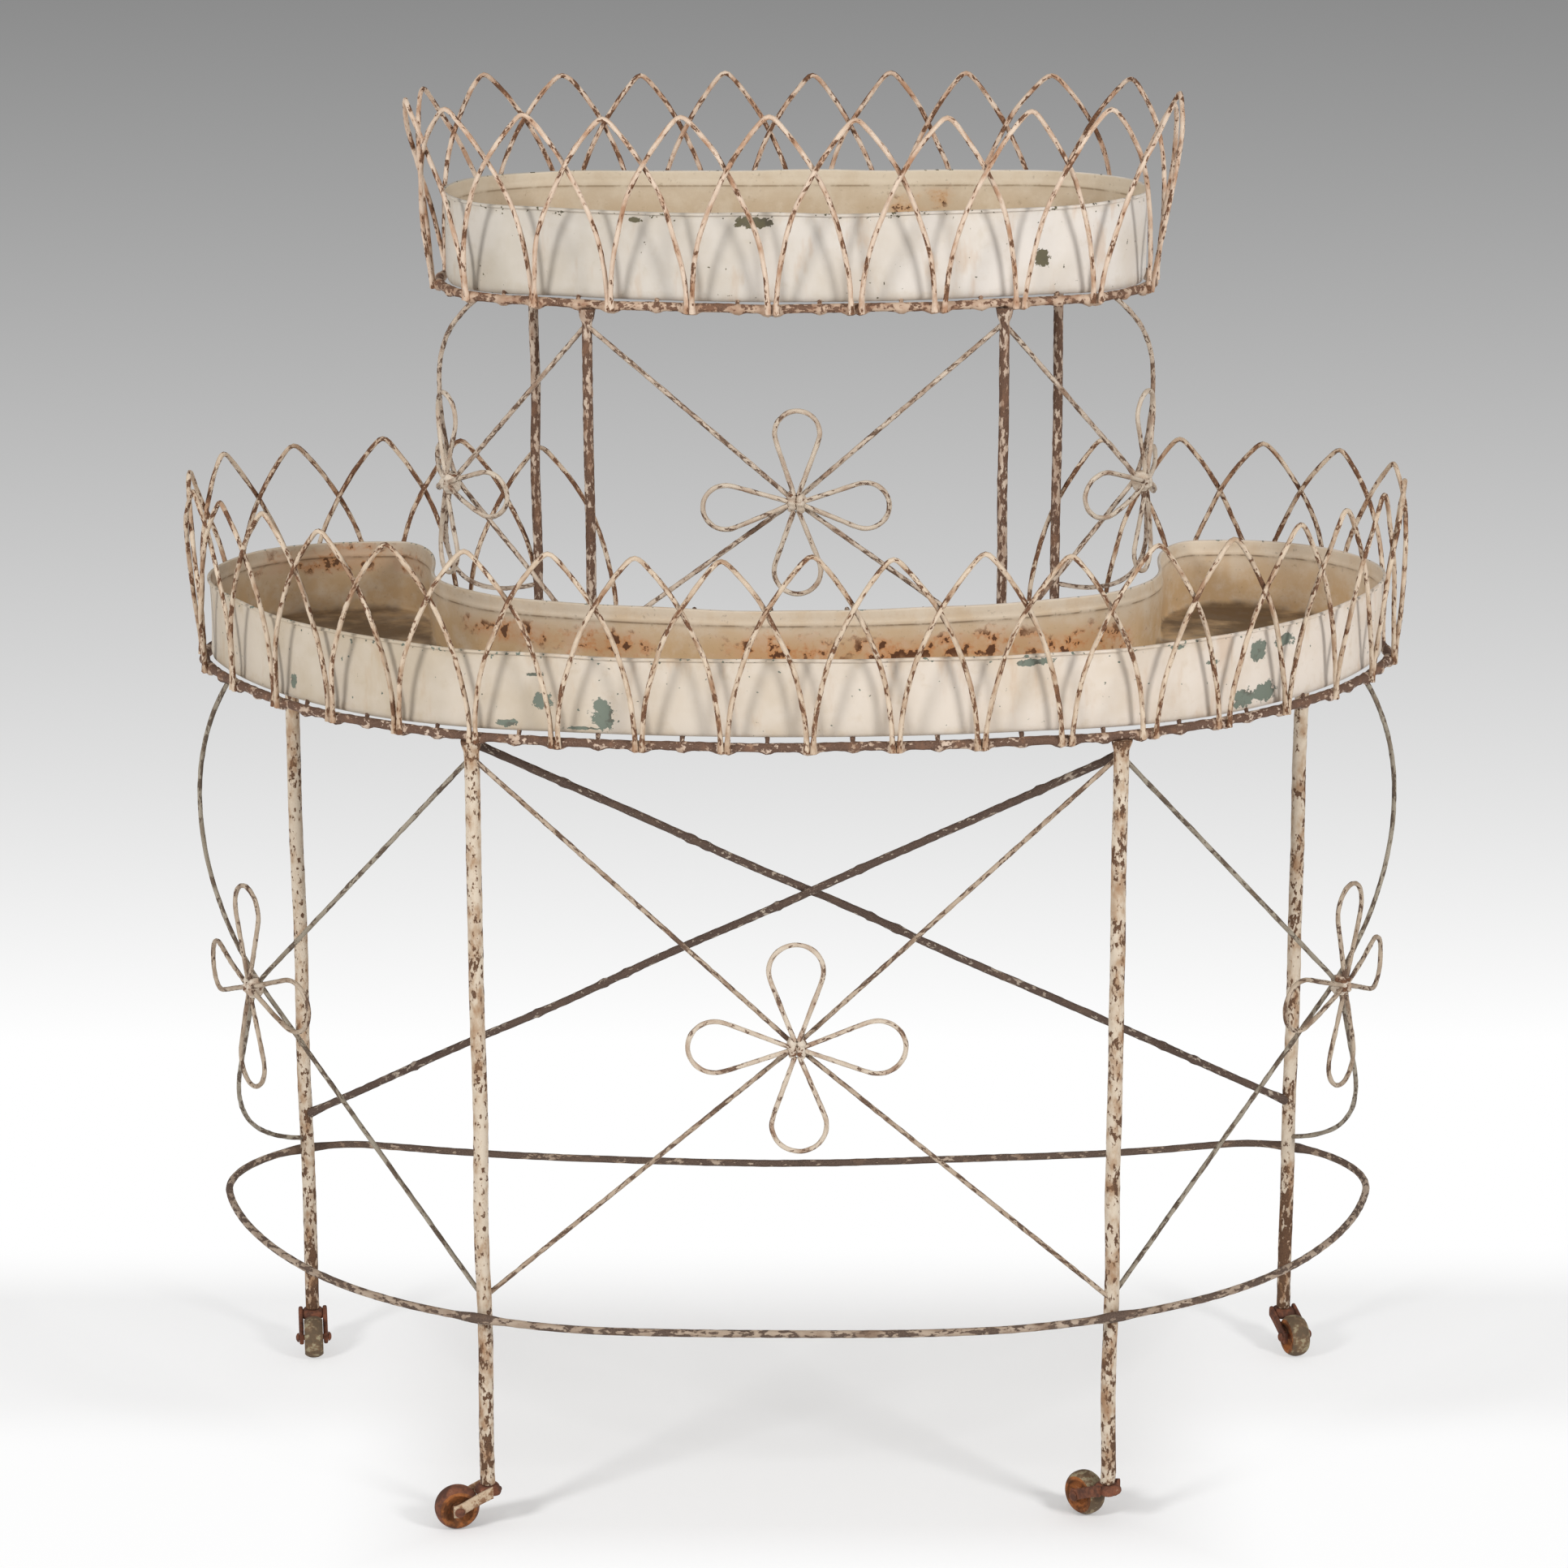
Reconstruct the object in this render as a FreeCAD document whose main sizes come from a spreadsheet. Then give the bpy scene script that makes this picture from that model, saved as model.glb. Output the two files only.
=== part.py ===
import FreeCAD, Part
import math
import os

import Sketcher
from FreeCAD import Placement, Rotation, Vector

# Two-tier half-round wirework plant stand: four rod legs on swivel casters, a lower and an upper
# tray ring with interlaced arched galleries, scrolled wire panels, and two sheet liners that lift out.
# X runs to the right, Y to the back, Z up; the origin is on the floor under the middle of the stand.

doc = FreeCAD.newDocument("plant_stand")

SIZES = {
    # plan of the lower tray ring
    "lower_half_width": 511.0,
    "lower_depth": 438.0,
    "lower_end_radius": 126.0,
    "lower_front_turn": 11.5,
    "lower_shoulder_turn": 68.0,
    "lower_ring_height": 692.5,
    # plan of the upper tray ring
    "upper_half_width": 303.0,
    "upper_depth": 263.0,
    "upper_end_radius": 112.0,
    "upper_front_turn": 23.0,
    "upper_shoulder_turn": 72.0,
    "upper_ring_rise": 321.5,
    # rods
    "ring_rod": 7.5,
    "leg_rod": 12.5,
    "leg_flare": 2.5,
    "leg_flare_length": 9.0,
    "upright_rod": 8.5,
    "hoop_rod": 6.5,
    "brace_rod": 6.8,
    "bearer_rod": 8.0,
    "gallery_wire": 4.2,
    "panel_wire": 4.2,
    "bar_wire": 4.5,
    "fit_gap": 0.3,
    # places of the legs and uprights, from the middle plane
    "front_leg_spread": 262.0,
    "rear_leg_spread": 451.0,
    "front_upright_spread": 172.0,
    "rear_upright_spread": 230.0,
    "leg_foot_height": 44.0,
    # stretcher hoop round the legs
    "hoop_height": 191.0,
    "hoop_side_reach": 61.0,
    "hoop_end_radius": 100.0,
    "hoop_front_turn": 5.2,
    "hoop_shoulder_turn": 78.4,
    "hoop_back_bow": 48.0,
    # galleries
    "gallery_height": 157.0,
    "gallery_apex_flat": 8.0,
    "lower_gallery_pitch": 68.2,
    "lower_gallery_shift": 11.0,
    "lower_gallery_stop": 155.0,
    "lower_flare": 11.0,
    "upper_gallery_pitch": 67.0,
    "upper_gallery_shift": -14.0,
    "upper_flare": 24.0,
    # panels
    "lower_flower_reach": 92.0,
    "lower_petal_width": 50.0,
    "upper_flower_reach": 80.0,
    "upper_petal_width": 43.0,
    "knot_diameter": 16.0,
    "knot_cover": 0.8,
    "panel_top_drop": 17.0,
    "panel_foot_rise": 14.0,
    "sag_drop": 39.0,
    "lower_sag_inset": 15.0,
    "lower_scroll_swing": 60.0,
    "lower_scroll_bulge": 17.0,
    "upper_sag_inset": 1.0,
    "upper_scroll_swing": 46.0,
    "upper_scroll_bulge": 6.0,
    "brace_top_drop": 12.0,
    "brace_foot_rise": 42.0,
    "brace_setback": 7.0,
    "bearer_overhang": 10.0,
    # liners
    "liner_sheet": 1.2,
    "liner_setback": 6.0,
    "lower_liner_depth": 62.5,
    "upper_liner_depth": 69.0,
    "rim_width": 3.0,
    "rim_depth": 4.5,
    "recess_gap": 12.0,
    "wing_corner_radius": 40.0,
    # casters
    "wheel_diameter": 38.0,
    "wheel_width": 17.0,
    "wheel_tread": 13.0,
    "wheel_face": 31.0,
    "wheel_dish": 23.0,
    "wheel_web": 10.0,
    "caster_trail": 27.0,
    "axle_diameter": 5.0,
    "axle_head": 8.0,
    "axle_head_length": 2.5,
    "running_gap": 0.05,
    "side_gap": 0.8,
    "cheek": 2.5,
    "fork_eye": 10.0,
    "hub_diameter": 15.0,
    "hub_length": 9.0,
    "hub_rise": 1.5,
    "crown_reach": 7.0,
    "pivot_diameter": 7.0,
    "pivot_head": 10.0,
    "pivot_head_length": 1.8,
    "end_gap": 0.2,
}

sheet = doc.addObject("Spreadsheet::Sheet", "Sizes")
for row, (alias, number) in enumerate(SIZES.items(), start=1):
    sheet.set(f"A{row}", alias)
    sheet.set(f"B{row}", str(number))
    sheet.setAlias(f"B{row}", alias)
doc.recompute()

FULL_TURN = 360.0
QUARTER_TURN = 90.0
HEX_SIDES, KNOT_SIDES = 6, 8
HEX_CORNER_SHARE = 1.0 / math.cos(math.pi / HEX_SIDES)
KNOT_CORNER_SHARE = 1.0 / math.cos(math.pi / KNOT_SIDES)
X_AXIS, Z_AXIS = Vector(1, 0, 0), Vector(0, 0, 1)
SIDES = {"left": -1, "right": 1}

# the way each caster's wheel trails, as a turn from straight right
TRAIL_TURNS = {"front_left": 195.0, "front_right": 130.0, "rear_left": 277.0, "rear_right": 288.0}
# bars on each side of the gallery's first arch, midway between its feet, in units of its pitch
LOWER_BAR_SHARES = (0.5, 1.5, 2.5, 3.5, 4.5, 5.5, 6.5)
UPPER_BAR_SHARES = (0.5, 1.5, 2.5, 3.5)
# points of an arch's leg, as shares of its arc, and how far it passes to one side of its neighbour
ARCH_SHARES = (0.0, 0.4, 0.72, 1.0)
ARCH_SIDE_SHARES = (0.0, 1.0, 1.0, 0.0)
# a petal's first direction off its axis, the chords of its tip and the turns of the four petals
PETAL_SPREAD = 15.0
PETAL_CHORDS = 6
PETAL_TURNS = (0.0, 90.0, 180.0, 270.0)
# a knot's flats face the petals
KNOT_START_SHARE = 0.5
# points of a scrolled wire between the flower and its end
SCROLL_SHARES = (0.2, 0.4, 0.6, 0.8)
# places of the side flowers and of the scrolls' tops, between the front and rear post
LOWER_FLOWER_SHARE, LOWER_SCROLL_SHARE = 0.504, 0.568
UPPER_FLOWER_SHARE, UPPER_SCROLL_SHARE = 0.448, 0.315
# heights of the flowers, between the feet and the tops of their panels' wires
LOWER_FLOWER_RISE_SHARE, UPPER_FLOWER_RISE_SHARE = 0.474, 0.456
# rounds in which the hoop is fitted round the legs
HOOP_STEPS = 30
# corner of the fork's arm on the eye, as shares of the eye's diameter
EYE_ALONG_SHARE, EYE_UP_SHARE = 0.25, 0.43


def size(alias):
    """A driving dimension read from the sheet."""
    return float(sheet.get(alias))


def value(expression):
    """The number that an expression on the sheet comes to."""
    return float(sheet.evalExpression(expression))


class TrayPlan:
    """Half-round outline: a shallow front arc, two shoulder arcs, two end arcs and a back run.

    A place on the outline is its length along it from the middle of the front, to the right when
    positive, and its offset outwards. The radii of front and shoulders follow from width and depth.
    The back run is straight, or bowed forward in one arc that the end arcs flow into.
    """

    def __init__(self, half_width, depth, end_radius, front_turn, shoulder_turn, centre_y=0.0, bow=0.0):
        first, second = math.radians(front_turn), math.radians(shoulder_turn)
        across = half_width - end_radius * (1 - math.sin(second))
        along = depth - end_radius * (1 + math.cos(second))
        sine_step = math.sin(second) - math.sin(first)
        cosine_step = math.cos(first) - math.cos(second)
        rise = 1 - math.cos(first)
        divisor = math.sin(first) * cosine_step - sine_step * rise
        front_radius = (across * cosine_step - sine_step * along) / divisor
        shoulder_radius = (math.sin(first) * along - rise * across) / divisor
        self.front_y = centre_y - depth / 2
        self.back_y = centre_y + depth / 2
        self.half_width = half_width
        self.end_radius = end_radius
        x_mid, y_mid = 0.0, self.front_y + front_radius
        self.arcs = [(x_mid, y_mid, front_radius, 0.0, first)]
        x_mid += (front_radius - shoulder_radius) * math.sin(first)
        y_mid -= (front_radius - shoulder_radius) * math.cos(first)
        self.arcs.append((x_mid, y_mid, shoulder_radius, first, second))
        x_mid += (shoulder_radius - end_radius) * math.sin(second)
        y_mid -= (shoulder_radius - end_radius) * math.cos(second)
        self.back_half = x_mid
        over_turn = 2 * math.atan2(bow, self.back_half)
        self.arcs.append((x_mid, y_mid, end_radius, second, math.pi + over_turn))
        self.bow = bow
        arc_length = sum(radius * (end - start) for _, _, radius, start, end in self.arcs)
        self.half_length = arc_length + self.back_half

    def heading(self, place):
        """Turn of the outward normal from straight forward, and the plan point, at a place."""
        whole = 2 * self.half_length
        place = (place + self.half_length) % whole - self.half_length
        left = abs(place)
        for x_mid, y_mid, radius, start, end in self.arcs:
            if left <= radius * (end - start):
                turn = start + left / radius
                x = x_mid + radius * math.sin(turn)
                y = y_mid - radius * math.cos(turn)
                break
            left -= radius * (end - start)
        else:
            turn = math.pi
            x = self.back_half - left
            y = self.back_y
        side = math.copysign(1, place)
        return side * turn, side * x, y

    def point(self, place, offset=0.0):
        """Plan point at a place on the outline, moved outwards by an offset."""
        turn, x, y = self.heading(place)
        return x + offset * math.sin(turn), y - offset * math.cos(turn)

    def place_of_x(self, x, rear=False):
        """The place on the outline, in front or behind, that lies at a distance from the middle."""
        length = 0.0
        for x_mid, _, radius, start, end in self.arcs:
            turn = math.asin(max(-1.0, min(1.0, (x - x_mid) / radius)))
            if rear:
                turn = math.pi - turn
            if start <= turn <= end:
                return length + radius * (turn - start)
            length += radius * (end - start)
        return length + self.back_half - x

    def depth_inside(self, x, y):
        """How far inside the outline a point lies, measured square to the nearest arc."""
        for x_mid, y_mid, radius, start, end in self.arcs:
            turn = math.atan2(abs(x) - x_mid, y_mid - y)
            if start <= turn <= end:
                return radius - math.hypot(abs(x) - x_mid, y_mid - y)
        return self.back_y - y

    def edges(self, height, offset=0.0):
        """Arc and line edges of the closed outline at a height, moved outwards by an offset."""
        drawn = []
        for side in (1, -1):
            for x_mid, y_mid, radius, start, end in self.arcs:
                turns = (start, (start + end) / 2, end)
                corners = [
                    Vector(
                        side * (x_mid + (radius + offset) * math.sin(turn)),
                        y_mid - (radius + offset) * math.cos(turn),
                        height,
                    )
                    for turn in turns
                ]
                drawn.append(Part.Arc(*corners).toShape())
        ends = [drawn[index].Vertexes[-1].Point for index in (2, 5)]
        if self.bow:
            middle = Vector(0, self.back_y - self.bow + offset, height)
            drawn.append(Part.Arc(ends[0], middle, ends[1]).toShape())
        else:
            drawn.append(Part.LineSegment(*ends).toShape())
        return drawn

    def wire(self, height, offset=0.0):
        """The closed outline as one wire."""
        return Part.Wire(Part.__sortEdges__(self.edges(height, offset)))


def regular(centre, direction, up, radius, sides, start_share=0.0):
    """Corners of a regular polygon square to a direction, from a share of a step past its side."""
    side = direction.cross(up).normalize()
    top = side.cross(direction).normalize()
    corners = []
    for index in range(sides):
        turn = 2 * math.pi * (index + start_share) / sides
        corners.append(centre + side * (radius * math.cos(turn)) + top * (radius * math.sin(turn)))
    return corners


def hexagon(centre, direction, up, across_flats):
    """Corners of a hexagonal bar's section, one pair of flats square to the up direction."""
    return regular(centre, direction, up, across_flats / 2 * HEX_CORNER_SHARE, HEX_SIDES)


def bent_bar(points, across_flats, up=Vector(0, 0, 1)):
    """A thin bar bent through the points: straight hexagonal runs, mitred where two runs meet."""
    runs = [(b - a).normalize() for a, b in zip(points, points[1:])]
    rings = [hexagon(points[0], runs[0], up, across_flats)]
    for index, run in enumerate(runs):
        following = runs[min(index + 1, len(runs) - 1)]
        mitre = (run + following).normalize()
        joint = points[index + 1]
        rings.append([
            corner + run * ((joint - corner).dot(mitre) / run.dot(mitre))
            for corner in rings[-1]
        ])
    faces = [Part.Face(Part.makePolygon(ring + ring[:1])) for ring in (rings[0], rings[-1])]
    for near, far in zip(rings, rings[1:]):
        for index in range(HEX_SIDES):
            after = (index + 1) % HEX_SIDES
            quad = [near[index], near[after], far[after], far[index], near[index]]
            faces.append(Part.Face(Part.makePolygon(quad)))
    shell = Part.makeShell(faces)
    shell.sewShape()
    solid = Part.Solid(shell)
    if solid.Volume < 0:
        solid.reverse()
    return solid


def round_bar(start, end, diameter):
    """A straight round rod between two points."""
    run = end - start
    return Part.makeCylinder(diameter / 2, run.Length, start, run)


def shaped(label, shape):
    """A sub-part whose shape follows a path that no primitive draws."""
    feature = doc.addObject("Part::Feature", label)
    feature.Label = label
    feature.Shape = shape
    return feature


def group(label, solids):
    """Several like pieces, kept as separate solids of one sub-part."""
    return shaped(label, Part.makeCompound(solids))


def origin_plane(body, role):
    """One of a body's own origin planes."""
    return next(f for f in body.Origin.OriginFeatures if f.Role == role)


def attached_sketch(body, name, plane):
    """An empty sketch on one of the body's origin planes."""
    sketch = body.newObject("Sketcher::SketchObject", name)
    sketch.AttachmentSupport = [(origin_plane(body, plane), "")]
    sketch.MapMode = "FlatFace"
    return sketch


def bind(sketch, kind, refs, expression):
    """A dimension of a sketch tied to an expression on the sheet."""
    index = sketch.addConstraint(Sketcher.Constraint(kind, *refs, value(expression)))
    sketch.setExpression(f"Constraints[{index}]", expression)


def polygon_sketch(body, name, plane, corners):
    """A closed polygon whose corners are pairs of expressions; a corner on an axis is written 0."""
    sketch = attached_sketch(body, name, plane)
    places = [Vector(value(across), value(up), 0) for across, up in corners]
    count = len(places)
    for index in range(count):
        sketch.addGeometry(Part.LineSegment(places[index], places[(index + 1) % count]))
    for index in range(count):
        sketch.addConstraint(Sketcher.Constraint("Coincident", index, 2, (index + 1) % count, 1))
    for index, (across, up) in enumerate(corners):
        if across == "0":
            sketch.addConstraint(Sketcher.Constraint("PointOnObject", index, 1, -2))
        else:
            bind(sketch, "DistanceX", (-1, 1, index, 1), across)
        if up == "0":
            sketch.addConstraint(Sketcher.Constraint("PointOnObject", index, 1, -1))
        else:
            bind(sketch, "DistanceY", (-1, 1, index, 1), up)
    return sketch


def circle_sketch(body, name, plane, across, up, diameter):
    """A circle whose middle and diameter are expressions."""
    sketch = attached_sketch(body, name, plane)
    middle = Vector(value(across), value(up), 0)
    sketch.addGeometry(Part.Circle(middle, Vector(0, 0, 1), value(diameter) / 2))
    for kind, axis, expression in (("DistanceX", -2, across), ("DistanceY", -1, up)):
        if expression == "0":
            sketch.addConstraint(Sketcher.Constraint("PointOnObject", 0, 3, axis))
        else:
            bind(sketch, kind, (-1, 1, 0, 3), expression)
    bind(sketch, "Diameter", (0,), diameter)
    return sketch


def turned(label, profile, place=Placement()):
    """A turned piece: the half profile, as radius and height expressions, spun about its own axis."""
    body = doc.addObject("PartDesign::Body", label)
    body.Label = label
    sketch = polygon_sketch(body, label + "_profile", "XZ_Plane", profile)
    spin = body.newObject("PartDesign::Revolution", label + "_turning")
    spin.Profile = sketch
    spin.ReferenceAxis = (sketch, ["V_Axis"])
    spin.Angle = FULL_TURN
    body.Placement = place
    return body


ring_rod, panel_wire, gallery_wire = size("ring_rod"), size("panel_wire"), size("gallery_wire")
bar_wire, hoop_rod, brace_rod = size("bar_wire"), size("hoop_rod"), size("brace_rod")
fit_gap, layer_step = size("fit_gap"), size("panel_wire") * HEX_CORNER_SHARE + size("fit_gap")
lower_height, upper_height = size("lower_ring_height"), value("lower_ring_height + upper_ring_rise")
ring_half = ring_rod / 2
bars_top = ring_half + bar_wire


def tray_plan(tier, centre_y=0.0):
    """The outline of one tier's ring."""
    names = ("half_width", "depth", "end_radius", "front_turn", "shoulder_turn")
    return TrayPlan(*(size(f"{tier}_{name}") for name in names), centre_y)


def rear_upright_line(plan):
    """Depth of the rear uprights on the upper outline."""
    return plan.point(plan.place_of_x(size("rear_upright_spread"), rear=True))[1]


# the upper ring stands with its rear uprights on the lower ring's back run, and the middle of the
# whole depth, from the lower gallery's front to the upper gallery's back, is the origin
tier_step = size("lower_depth") / 2 - rear_upright_line(tray_plan("upper"))
front_reach = size("lower_depth") / 2 + size("lower_flare")
back_reach = tier_step + size("upper_depth") / 2 + size("upper_flare")
lower_plan = tray_plan("lower", (front_reach - back_reach) / 2)
upper_plan = tray_plan("upper", (front_reach - back_reach) / 2 + tier_step)


class Post:
    """An upright rod on an outline: a leg below the lower ring, or an upright below the upper one."""

    def __init__(self, plan, spread, side, rear, foot, top, rod, flare=0.0, flare_length=0.0):
        self.place = plan.place_of_x(spread, rear)
        self.x, self.y = plan.point(side * self.place)
        self.foot, self.top, self.radius = foot, top, rod / 2
        self.flare, self.flare_length = flare, flare_length

    def axis(self, height):
        """The point of the rod's axis at a height."""
        return Vector(self.x, self.y, height)

    def room(self):
        """The rod and its flare with the fit gap round them, for the bars that are coped to it."""
        radius = self.radius + fit_gap
        rod = Part.makeCylinder(radius, self.top - self.foot, self.axis(self.foot))
        if not self.flare:
            return rod
        start = self.axis(self.top - self.flare_length)
        return rod.fuse(Part.makeCone(radius, radius + self.flare, self.flare_length, start))


def posts(plan, ends, feet, top, rod, flare=0.0, flare_length=0.0):
    """Front and rear posts on both sides, by name."""
    made = {}
    for row, spread in ends.items():
        for side_name, side in SIDES.items():
            rear = row == "rear"
            post = Post(plan, spread, side, rear, feet[row], top, rod, flare, flare_length)
            made[f"{row}_{side_name}"] = post
    return made


bearer_axis_height = lower_height + bars_top + fit_gap + size("bearer_rod") / 2
bearer_top = bearer_axis_height + size("bearer_rod") / 2
legs = posts(
    lower_plan,
    {"front": size("front_leg_spread"), "rear": size("rear_leg_spread")},
    {"front": size("leg_foot_height"), "rear": size("leg_foot_height")},
    lower_height - ring_half,
    size("leg_rod"),
    size("leg_flare"),
    size("leg_flare_length"),
)
uprights = posts(
    upper_plan,
    {"front": size("front_upright_spread"), "rear": size("rear_upright_spread")},
    {"front": bearer_top + fit_gap, "rear": lower_height + ring_half},
    upper_height - ring_half,
    size("upright_rod"),
)


def closed_bar(plan, height, across_flats):
    """A closed bar bent to an outline: a hexagonal section carried along its true arcs."""
    section = hexagon(Vector(0, plan.front_y, height), X_AXIS, Z_AXIS, across_flats)
    sweep = Part.BRepOffsetAPI.MakePipeShell(plan.wire(height))
    sweep.setBiNormalMode(Z_AXIS)
    sweep.add(Part.makePolygon(section + section[:1]))
    sweep.build()
    sweep.makeSolid()
    return sweep.shape()


def hoop_plan():
    """The stretcher hoop's outline: outside the four legs, a rod's width and the fit gap off them."""
    clear = (size("leg_rod") + hoop_rod * HEX_CORNER_SHARE) / 2 + fit_gap
    front, rear = legs["front_right"], legs["rear_right"]
    front_y, back_y = lower_plan.front_y, lower_plan.back_y
    for _ in range(HOOP_STEPS):
        plan = TrayPlan(
            size("rear_leg_spread") + size("hoop_side_reach"),
            back_y - front_y,
            size("hoop_end_radius"),
            size("hoop_front_turn"),
            size("hoop_shoulder_turn"),
            (front_y + back_y) / 2,
            size("hoop_back_bow"),
        )
        front_y += plan.depth_inside(front.x, front.y) - clear
        back_y -= plan.depth_inside(rear.x, rear.y) - clear
    return plan


def coped(bar, near_posts):
    """A bar cut to fit against the posts that it meets: the run that stays between them."""
    for post in near_posts:
        bar = bar.cut(post.room())
    return max(bar.Solids, key=lambda solid: solid.Volume)


def tray_bar(plan, height, x, standing):
    """One straight bar that lies across a ring, beside what stands on the back of it."""
    for post in standing:
        room = post.radius + bar_wire * HEX_CORNER_SHARE / 2 + fit_gap
        if abs(x - post.x) < room:
            x = post.x + math.copysign(room, x - post.x)
    lying = height + (ring_rod + bar_wire) / 2
    front_y = plan.point(plan.place_of_x(abs(x)))[1] - ring_half
    rear_y = plan.point(plan.place_of_x(abs(x), rear=True))[1] + ring_half
    return bent_bar([Vector(x, front_y, lying), Vector(x, rear_y, lying)], bar_wire)


def tray_bars(tier, plan, height, pitch, shares, standing):
    """The bars that carry a liner, midway between the feet of the gallery's arches."""
    shift = size(f"{tier}_gallery_shift")
    places = [side * share * pitch + shift for share in shares for side in SIDES.values()]
    bars = [tray_bar(plan, height, plan.point(place)[0], standing) for place in places]
    return group(f"{tier}_tray_bars", bars)


def arch(plan, height, flare, middle, pitch):
    """One arch of a gallery: two legs that lean in and out to a small rounded top.

    Each leg is an arc with an upright foot. It passes outside its neighbour on one side and inside
    it on the other, so that the row of arches is interlaced.
    """
    lap = (gallery_wire * HEX_CORNER_SHARE + fit_gap) / 2
    span = pitch - lap - size("gallery_apex_flat") / 2
    foot_height = height - ring_half + fit_gap
    rise = height + size("gallery_height") - gallery_wire / 2 - foot_height
    radius = (span * span + rise * rise) / (2 * span)
    full_turn = math.asin(rise / radius)
    foot_offset = (ring_rod * HEX_CORNER_SHARE + gallery_wire) / 2 + fit_gap
    points = []
    for side in (-1, 1):
        leg = []
        for share, side_share in zip(ARCH_SHARES, ARCH_SIDE_SHARES):
            climb = radius * math.sin(share * full_turn)
            inward = radius * (1 - math.cos(share * full_turn))
            lean = (flare - foot_offset) * climb / rise - side * side_share * lap
            place = middle + side * (pitch - lap - inward)
            leg.append(Vector(*plan.point(place, foot_offset + lean), foot_height + climb))
        points += leg if side < 0 else leg[::-1]
    foot, out = (plan.point(middle, offset) for offset in (0, gallery_wire))
    return bent_bar(points, gallery_wire, Vector(out[0] - foot[0], out[1] - foot[1], 0))


def petal(surface, height, reach, width, turn, layer):
    """One petal: a wire that leaves the knot, goes round a circular tip and comes back."""
    tip = (width - panel_wire) / 2
    tip_middle = reach - panel_wire / 2 - tip
    start = size("knot_diameter") / 2 * KNOT_CORNER_SHARE + fit_gap
    spread = math.radians(PETAL_SPREAD)
    root = (start * math.cos(spread), start * math.sin(spread))
    run = math.hypot(tip_middle - root[0], root[1])
    touch = math.pi - math.atan2(root[1], tip_middle - root[0]) - math.acos(tip / run)
    outline = [root]
    for index in range(PETAL_CHORDS + 1):
        angle = touch * (1 - 2 * index / PETAL_CHORDS)
        outline.append((tip_middle + tip * math.cos(angle), tip * math.sin(angle)))
    outline.append((root[0], -root[1]))
    cosine, sine = math.cos(math.radians(turn)), math.sin(math.radians(turn))
    points = [surface(u * cosine - v * sine, height + u * sine + v * cosine, layer) for u, v in outline]
    outward = surface(0, height, layer + layer_step) - surface(0, height, layer)
    return bent_bar(points, panel_wire, outward)


def panel(name, surface, height, reach, width, base_layer, wires, near_posts):
    """Two crossing wires, a four-petal flower in front of them and the knot that clasps all of it."""
    outward = surface(0, height, layer_step) - surface(0, height, 0)
    group(f"{name}_wires", [coped(bent_bar(wire, panel_wire, outward), near_posts) for wire in wires])
    front_layer = base_layer + layer_step
    petals = [petal(surface, height, reach, width, turn, front_layer) for turn in PETAL_TURNS]
    group(f"{name}_flower", petals)
    cover = layer_step + panel_wire / 2 + size("knot_cover")
    back = surface(0, height, base_layer - cover)
    radius = size("knot_diameter") / 2 * KNOT_CORNER_SHARE
    corners = regular(back, outward, Z_AXIS, radius, KNOT_SIDES, KNOT_START_SHARE)
    knot = Part.Face(Part.makePolygon(corners + corners[:1])).extrude(outward * (2 * cover / outward.Length))
    for wire in wires:
        knot = knot.cut(bent_bar(wire, panel_wire + 2 * fit_gap, outward))
    shaped(f"{name}_knot", knot)


def front_panel(name, post_set, height, reach, width, top, foot):
    """The flat panel between the two front posts: straight wires from each top to the other foot."""
    left, right = post_set["front_left"], post_set["front_right"]

    def surface(along, up, layer):
        return Vector(along, left.y - layer, up)

    wires = []
    for start, end, layer in ((left, right, layer_step / 2), (right, left, -layer_step / 2)):
        lift = Vector(0, -layer, 0)
        wires.append([start.axis(top) + lift, surface(0, height, layer), end.axis(foot) + lift])
    panel(name, surface, height, reach, width, layer_step / 2, wires, (left, right))


def side_panel(name, plan, post_set, side_name, shares, height, reach, width, top, foot, curves):
    """The panel between a front and a rear post, bent round the outline.

    The first wire runs straight from the front post's top to the flower and sags from there to the
    rear post's foot, drawn in from the outline. The second hangs from under the ring, swings to the
    back and bulges out on its way to the flower, then runs straight to the front post's foot.
    """
    side = SIDES[side_name]
    front, rear = post_set[f"front_{side_name}"], post_set[f"rear_{side_name}"]
    flower_share, scroll_share = shares
    middle = front.place + flower_share * (rear.place - front.place)
    scroll_step = (scroll_share - flower_share) * (rear.place - front.place)
    scroll_top = front.top - fit_gap
    inset, swing, bulge = curves

    def surface(along, up, layer):
        return Vector(*plan.point(side * middle + along, layer), up)

    def on_outline(along, up, layer):
        return surface(side * along, up, layer)

    sagging = [front.axis(top), on_outline(0, height, 0)]
    scroll = []
    for share in SCROLL_SHARES:
        bow = 4 * share * (1 - share)
        level = height + share * (foot - height) - size("sag_drop") * bow
        sagging.append(on_outline(share * (rear.place - middle), level, -inset * bow))
        level = height + share * (scroll_top - height)
        layer = bulge * bow - layer_step * (1 - share)
        scroll.append(on_outline(share * scroll_step + swing * bow, level, layer))
    sagging.append(rear.axis(foot))
    end = on_outline(scroll_step, scroll_top, 0)
    run = (end - scroll[-1]).normalize()
    tilt = panel_wire / 2 * HEX_CORNER_SHARE * math.hypot(run.x, run.y)
    scroll.append(end - run * (tilt / run.z))
    scroll = scroll[::-1] + [on_outline(0, height, -layer_step), front.axis(foot)]
    panel(name, surface, height, reach, width, 0.0, (sagging, scroll), (front, rear))


def panel_curves(tier):
    """How far one tier's side wires are drawn in, swing back and bulge out."""
    return size(f"{tier}_sag_inset"), size(f"{tier}_scroll_swing"), size(f"{tier}_scroll_bulge")


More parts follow.
